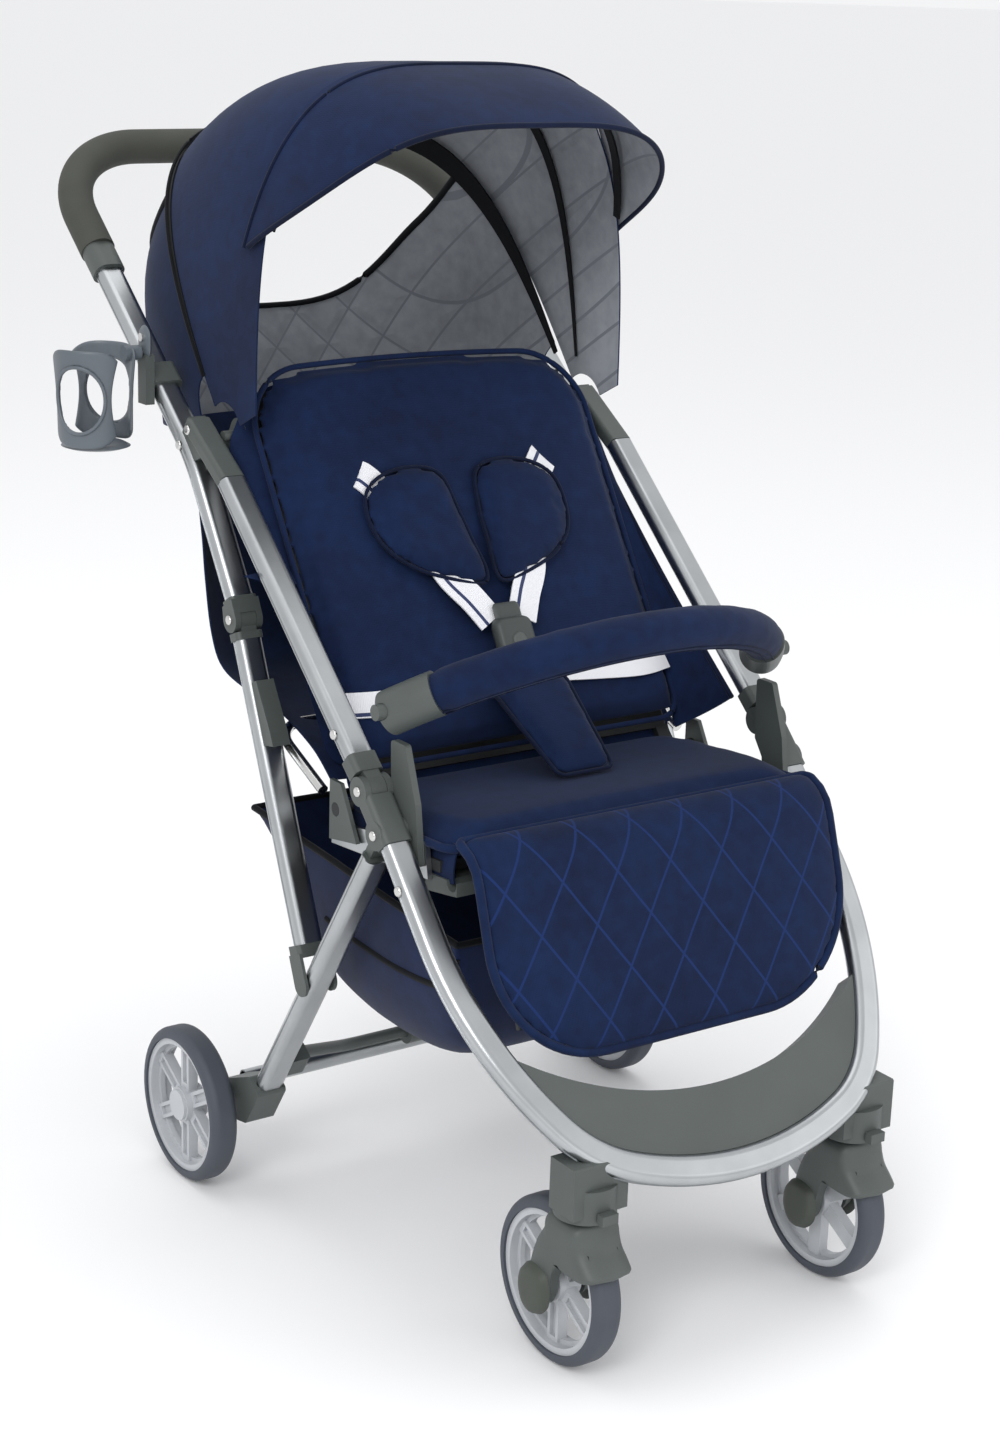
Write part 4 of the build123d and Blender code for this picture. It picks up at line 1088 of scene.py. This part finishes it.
# ---- front forks: hood over the wheel, an arm down each side and a rounded cover on the hub ----
fork_profile = closed_curve(
    [(-296, 150), (-301, 138), (-306, 127), (-319, 114), (-322, 108), (-312, 104), (-292, 112), (-276, 106)]
    + [(-267, 90), (-263, 70), (-256, 58), (-244, 55), (-232, 59), (-226, 72), (-229, 92), (-238, 118)]
    + [(-250, 138), (-253, 150), (-275, 151)],
    parts=4,
)
wheel_cut = 77.5
for word, side in (("left", -1), ("right", 1)):
    x = side * 148.0

    def fork_place(u, v, w):
        return side_point(x + w, (u, v))

    fork = crowned_pad(f"front_fork_{word}", fork_profile, fork_place, 26, 26, grey_plastic, rings=14, power=9.0)
    bpy.ops.mesh.primitive_cylinder_add(
        vertices=96, radius=wheel_cut * MM, depth=0.031, location=(x * MM, -0.246, 0.0744), rotation=(0, pi / 2, 0)
    )
    cutter = bpy.context.object
    modifier(fork, "BOOLEAN", object=cutter, operation="DIFFERENCE", solver="EXACT")
    bpy.data.objects.remove(cutter)
    outwards(fork)
    smooth(fork, 40)
    cover_profile = closed_curve(
        [(-262, 92), (-244, 96), (-230, 88), (-227, 68), (-236, 52), (-252, 50), (-265, 62), (-267, 78)]
    )
    covers = []
    for outer in (-1, 1):

        def cap_place(u, v, w):
            return side_point(x + outer * (25 + w), (u, v))

        name = f"hub_cover_{word}_{outer + 1}"
        cover = crowned_pad(name, cover_profile, cap_place, 9, 2, hub_plastic, rings=8, power=5.0)
        covers.append(cover)
    for part in [fork] + covers:
        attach(part, f"caster_{word}")
    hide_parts(f"caster_fork_{word}")

# ---- cup holder: disc base, two curved bands with oval holes, and the eye bracket ----
cup_middle = Vector((-0.291, 0.328, 0.752))
bands = []
for index, facing_turn in enumerate((218, 38)):
    rows = []
    for i in range(37):
        share = i / 36
        row = []
        for k in range(37):
            spread = 62 - 10 * sin(pi * share)
            turn = radians(facing_turn + spread * (k / 18 - 1))
            reach = 33.0 + 3.5 * share
            corner = abs(k / 18 - 1) ** 4
            height = -45 + 91 * share + (12 * (1 - share) - 10 * share) * corner
            row.append(cup_middle + Vector((reach * cos(turn), reach * sin(turn), height)) * MM)
        rows.append(row)
    band = grid_piece(f"cup_band_{index}", rows, cup_plastic)
    mesh = bmesh.new()
    mesh.from_mesh(band.data)
    gone = []
    for face in mesh.faces:
        middle = face.calc_center_median() - cup_middle
        swing = (degrees(atan2(middle.y, middle.x)) - facing_turn + 180) % 360 - 180
        if (swing / 40) ** 2 + (middle.z / MM / 30) ** 2 < 1:
            gone.append(face)
    bmesh.ops.delete(mesh, geom=gone, context="FACES")
    mesh.to_mesh(band.data)
    mesh.free()
    thicken(band, 3.2 * MM, offset=0.0)
    modifier(band, "SMOOTH", factor=0.5, iterations=4)
    soften(band, 1)
    smooth(band, 60)
    bands.append(band)
    hole = [radians(facing_turn + 40.5 * cos(2 * pi * k / 60)) for k in range(60)]
    bead = []
    for k, turn in enumerate(hole):
        height = 30.5 * sin(2 * pi * k / 60)
        reach = 36.5 + 1.75 * height / 45
        bead.append(cup_middle + Vector((reach * cos(turn), reach * sin(turn), height)) * MM)
    bands.append(rope(f"cup_bead_{index}", bead, 1.7 * MM, cup_plastic, closed=True, sides=10))
base_outline = rounded_outline(32, -32, 32, 31.9, 31.9)


def base_place(u, v, w):
    return cup_middle + Vector((u, v, w - 46)) * MM


bands.append(crowned_pad("cup_base", base_outline, base_place, 3, 2, cup_plastic, rings=6, power=10.0))


def eye_place(u, v, w):
    return Vector((-0.2405 + w * MM, 0.326 + u * MM, 0.800 + v * MM))


eye_outline = rounded_outline(11, -16, 14, 8, 10.9)
arm_line = [(-0.262, 0.327, 0.789), (-0.246, 0.327, 0.789)]
screw_line = [(-0.2455, 0.326, 0.803), (-0.242, 0.326, 0.803)]
bands.append(crowned_pad("cup_eye_bracket", eye_outline, eye_place, 3, 3, cup_plastic, rings=6))
bands.append(rope("cup_bracket_arm", arm_line, 7 * MM, cup_plastic, sides=16))
bands.append(rope("cup_bracket_screw", screw_line, 4 * MM, fastener_metal, sides=16))
for part in bands:
    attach(part, "upper_frame")
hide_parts("cup_holder")

# ---- floor, lights and camera ----
def pale_floor():
    """Matt white floor, wide enough for its edge to stay out of sight."""
    rows = []
    for turn in range(0, 361, 10):
        swing = Vector((cos(radians(turn)), sin(radians(turn)), 0))
        rows.append([swing * reach for reach in (0.0001, 2, 6, 20, 90)])
    floor = grid_piece("studio_floor", rows, floor_finish)
    smooth(floor, 60)


floor_finish, _, floor_shader = finish_material("matt_white_floor", Roughness=0.9)
floor_shader.inputs["Base Color"].default_value = (0.93, 0.93, 0.935, 1.0)
pale_floor()


def soft_light(name, place, aim, size, watts, tint=(1, 1, 1)):
    lamp = bpy.data.lights.new(name, "AREA")
    lamp.shape = "RECTANGLE"
    lamp.size, lamp.size_y = size
    lamp.energy = watts
    lamp.color = tint
    holder = bpy.data.objects.new(name, lamp)
    bpy.context.scene.collection.objects.link(holder)
    holder.location = place
    holder.rotation_euler = (Vector(aim) - Vector(place)).to_track_quat("-Z", "Y").to_euler()


soft_light("key_softbox", (-2.6, -2.2, 2.9), (0, 0, 0.5), (1.6, 1.6), 60)
soft_light("fill_softbox", (2.8, -2.4, 1.9), (0, 0, 0.5), (2.6, 2.0), 14)
soft_light("top_softbox", (0.2, 0.6, 3.4), (0, 0, 0.4), (2.8, 2.8), 22)
soft_light("front_softbox", (-0.3, -3.6, 0.9), (0, 0, 0.4), (2.4, 1.6), 7)
world = bpy.data.worlds.new("pale_studio")
world.use_nodes = True
world.node_tree.nodes["Background"].inputs["Color"].default_value = (0.985, 0.99, 1.0, 1.0)
world.node_tree.nodes["Background"].inputs["Strength"].default_value = 0.92
bpy.context.scene.world = world
bpy.context.scene.view_settings.view_transform = "Standard"

turned, raised, rolled = radians(-34.98), radians(16.78), radians(1.78)
backward = Vector((sin(turned) * cos(raised), -cos(turned) * cos(raised), sin(raised)))
level = Vector((cos(turned), sin(turned), 0))
upward = backward.cross(level)
camera_right = level * cos(rolled) + upward * sin(rolled)
camera_up = upward * cos(rolled) - level * sin(rolled)
camera_data = bpy.data.cameras.new("main_view")
camera_data.lens = 63.18
camera_data.sensor_width = 36
camera_data.sensor_height = 36
camera_data.sensor_fit = "VERTICAL"
camera_data.shift_x = 0.0054
camera_data.shift_y = 0.0012
camera = bpy.data.objects.new("main_view", camera_data)
bpy.context.scene.collection.objects.link(camera)
facing = Matrix((camera_right, camera_up, backward)).transposed().to_4x4()
facing.translation = Vector((-1.3234, -1.8011, 1.1470))
camera.matrix_world = facing
bpy.context.scene.camera = camera
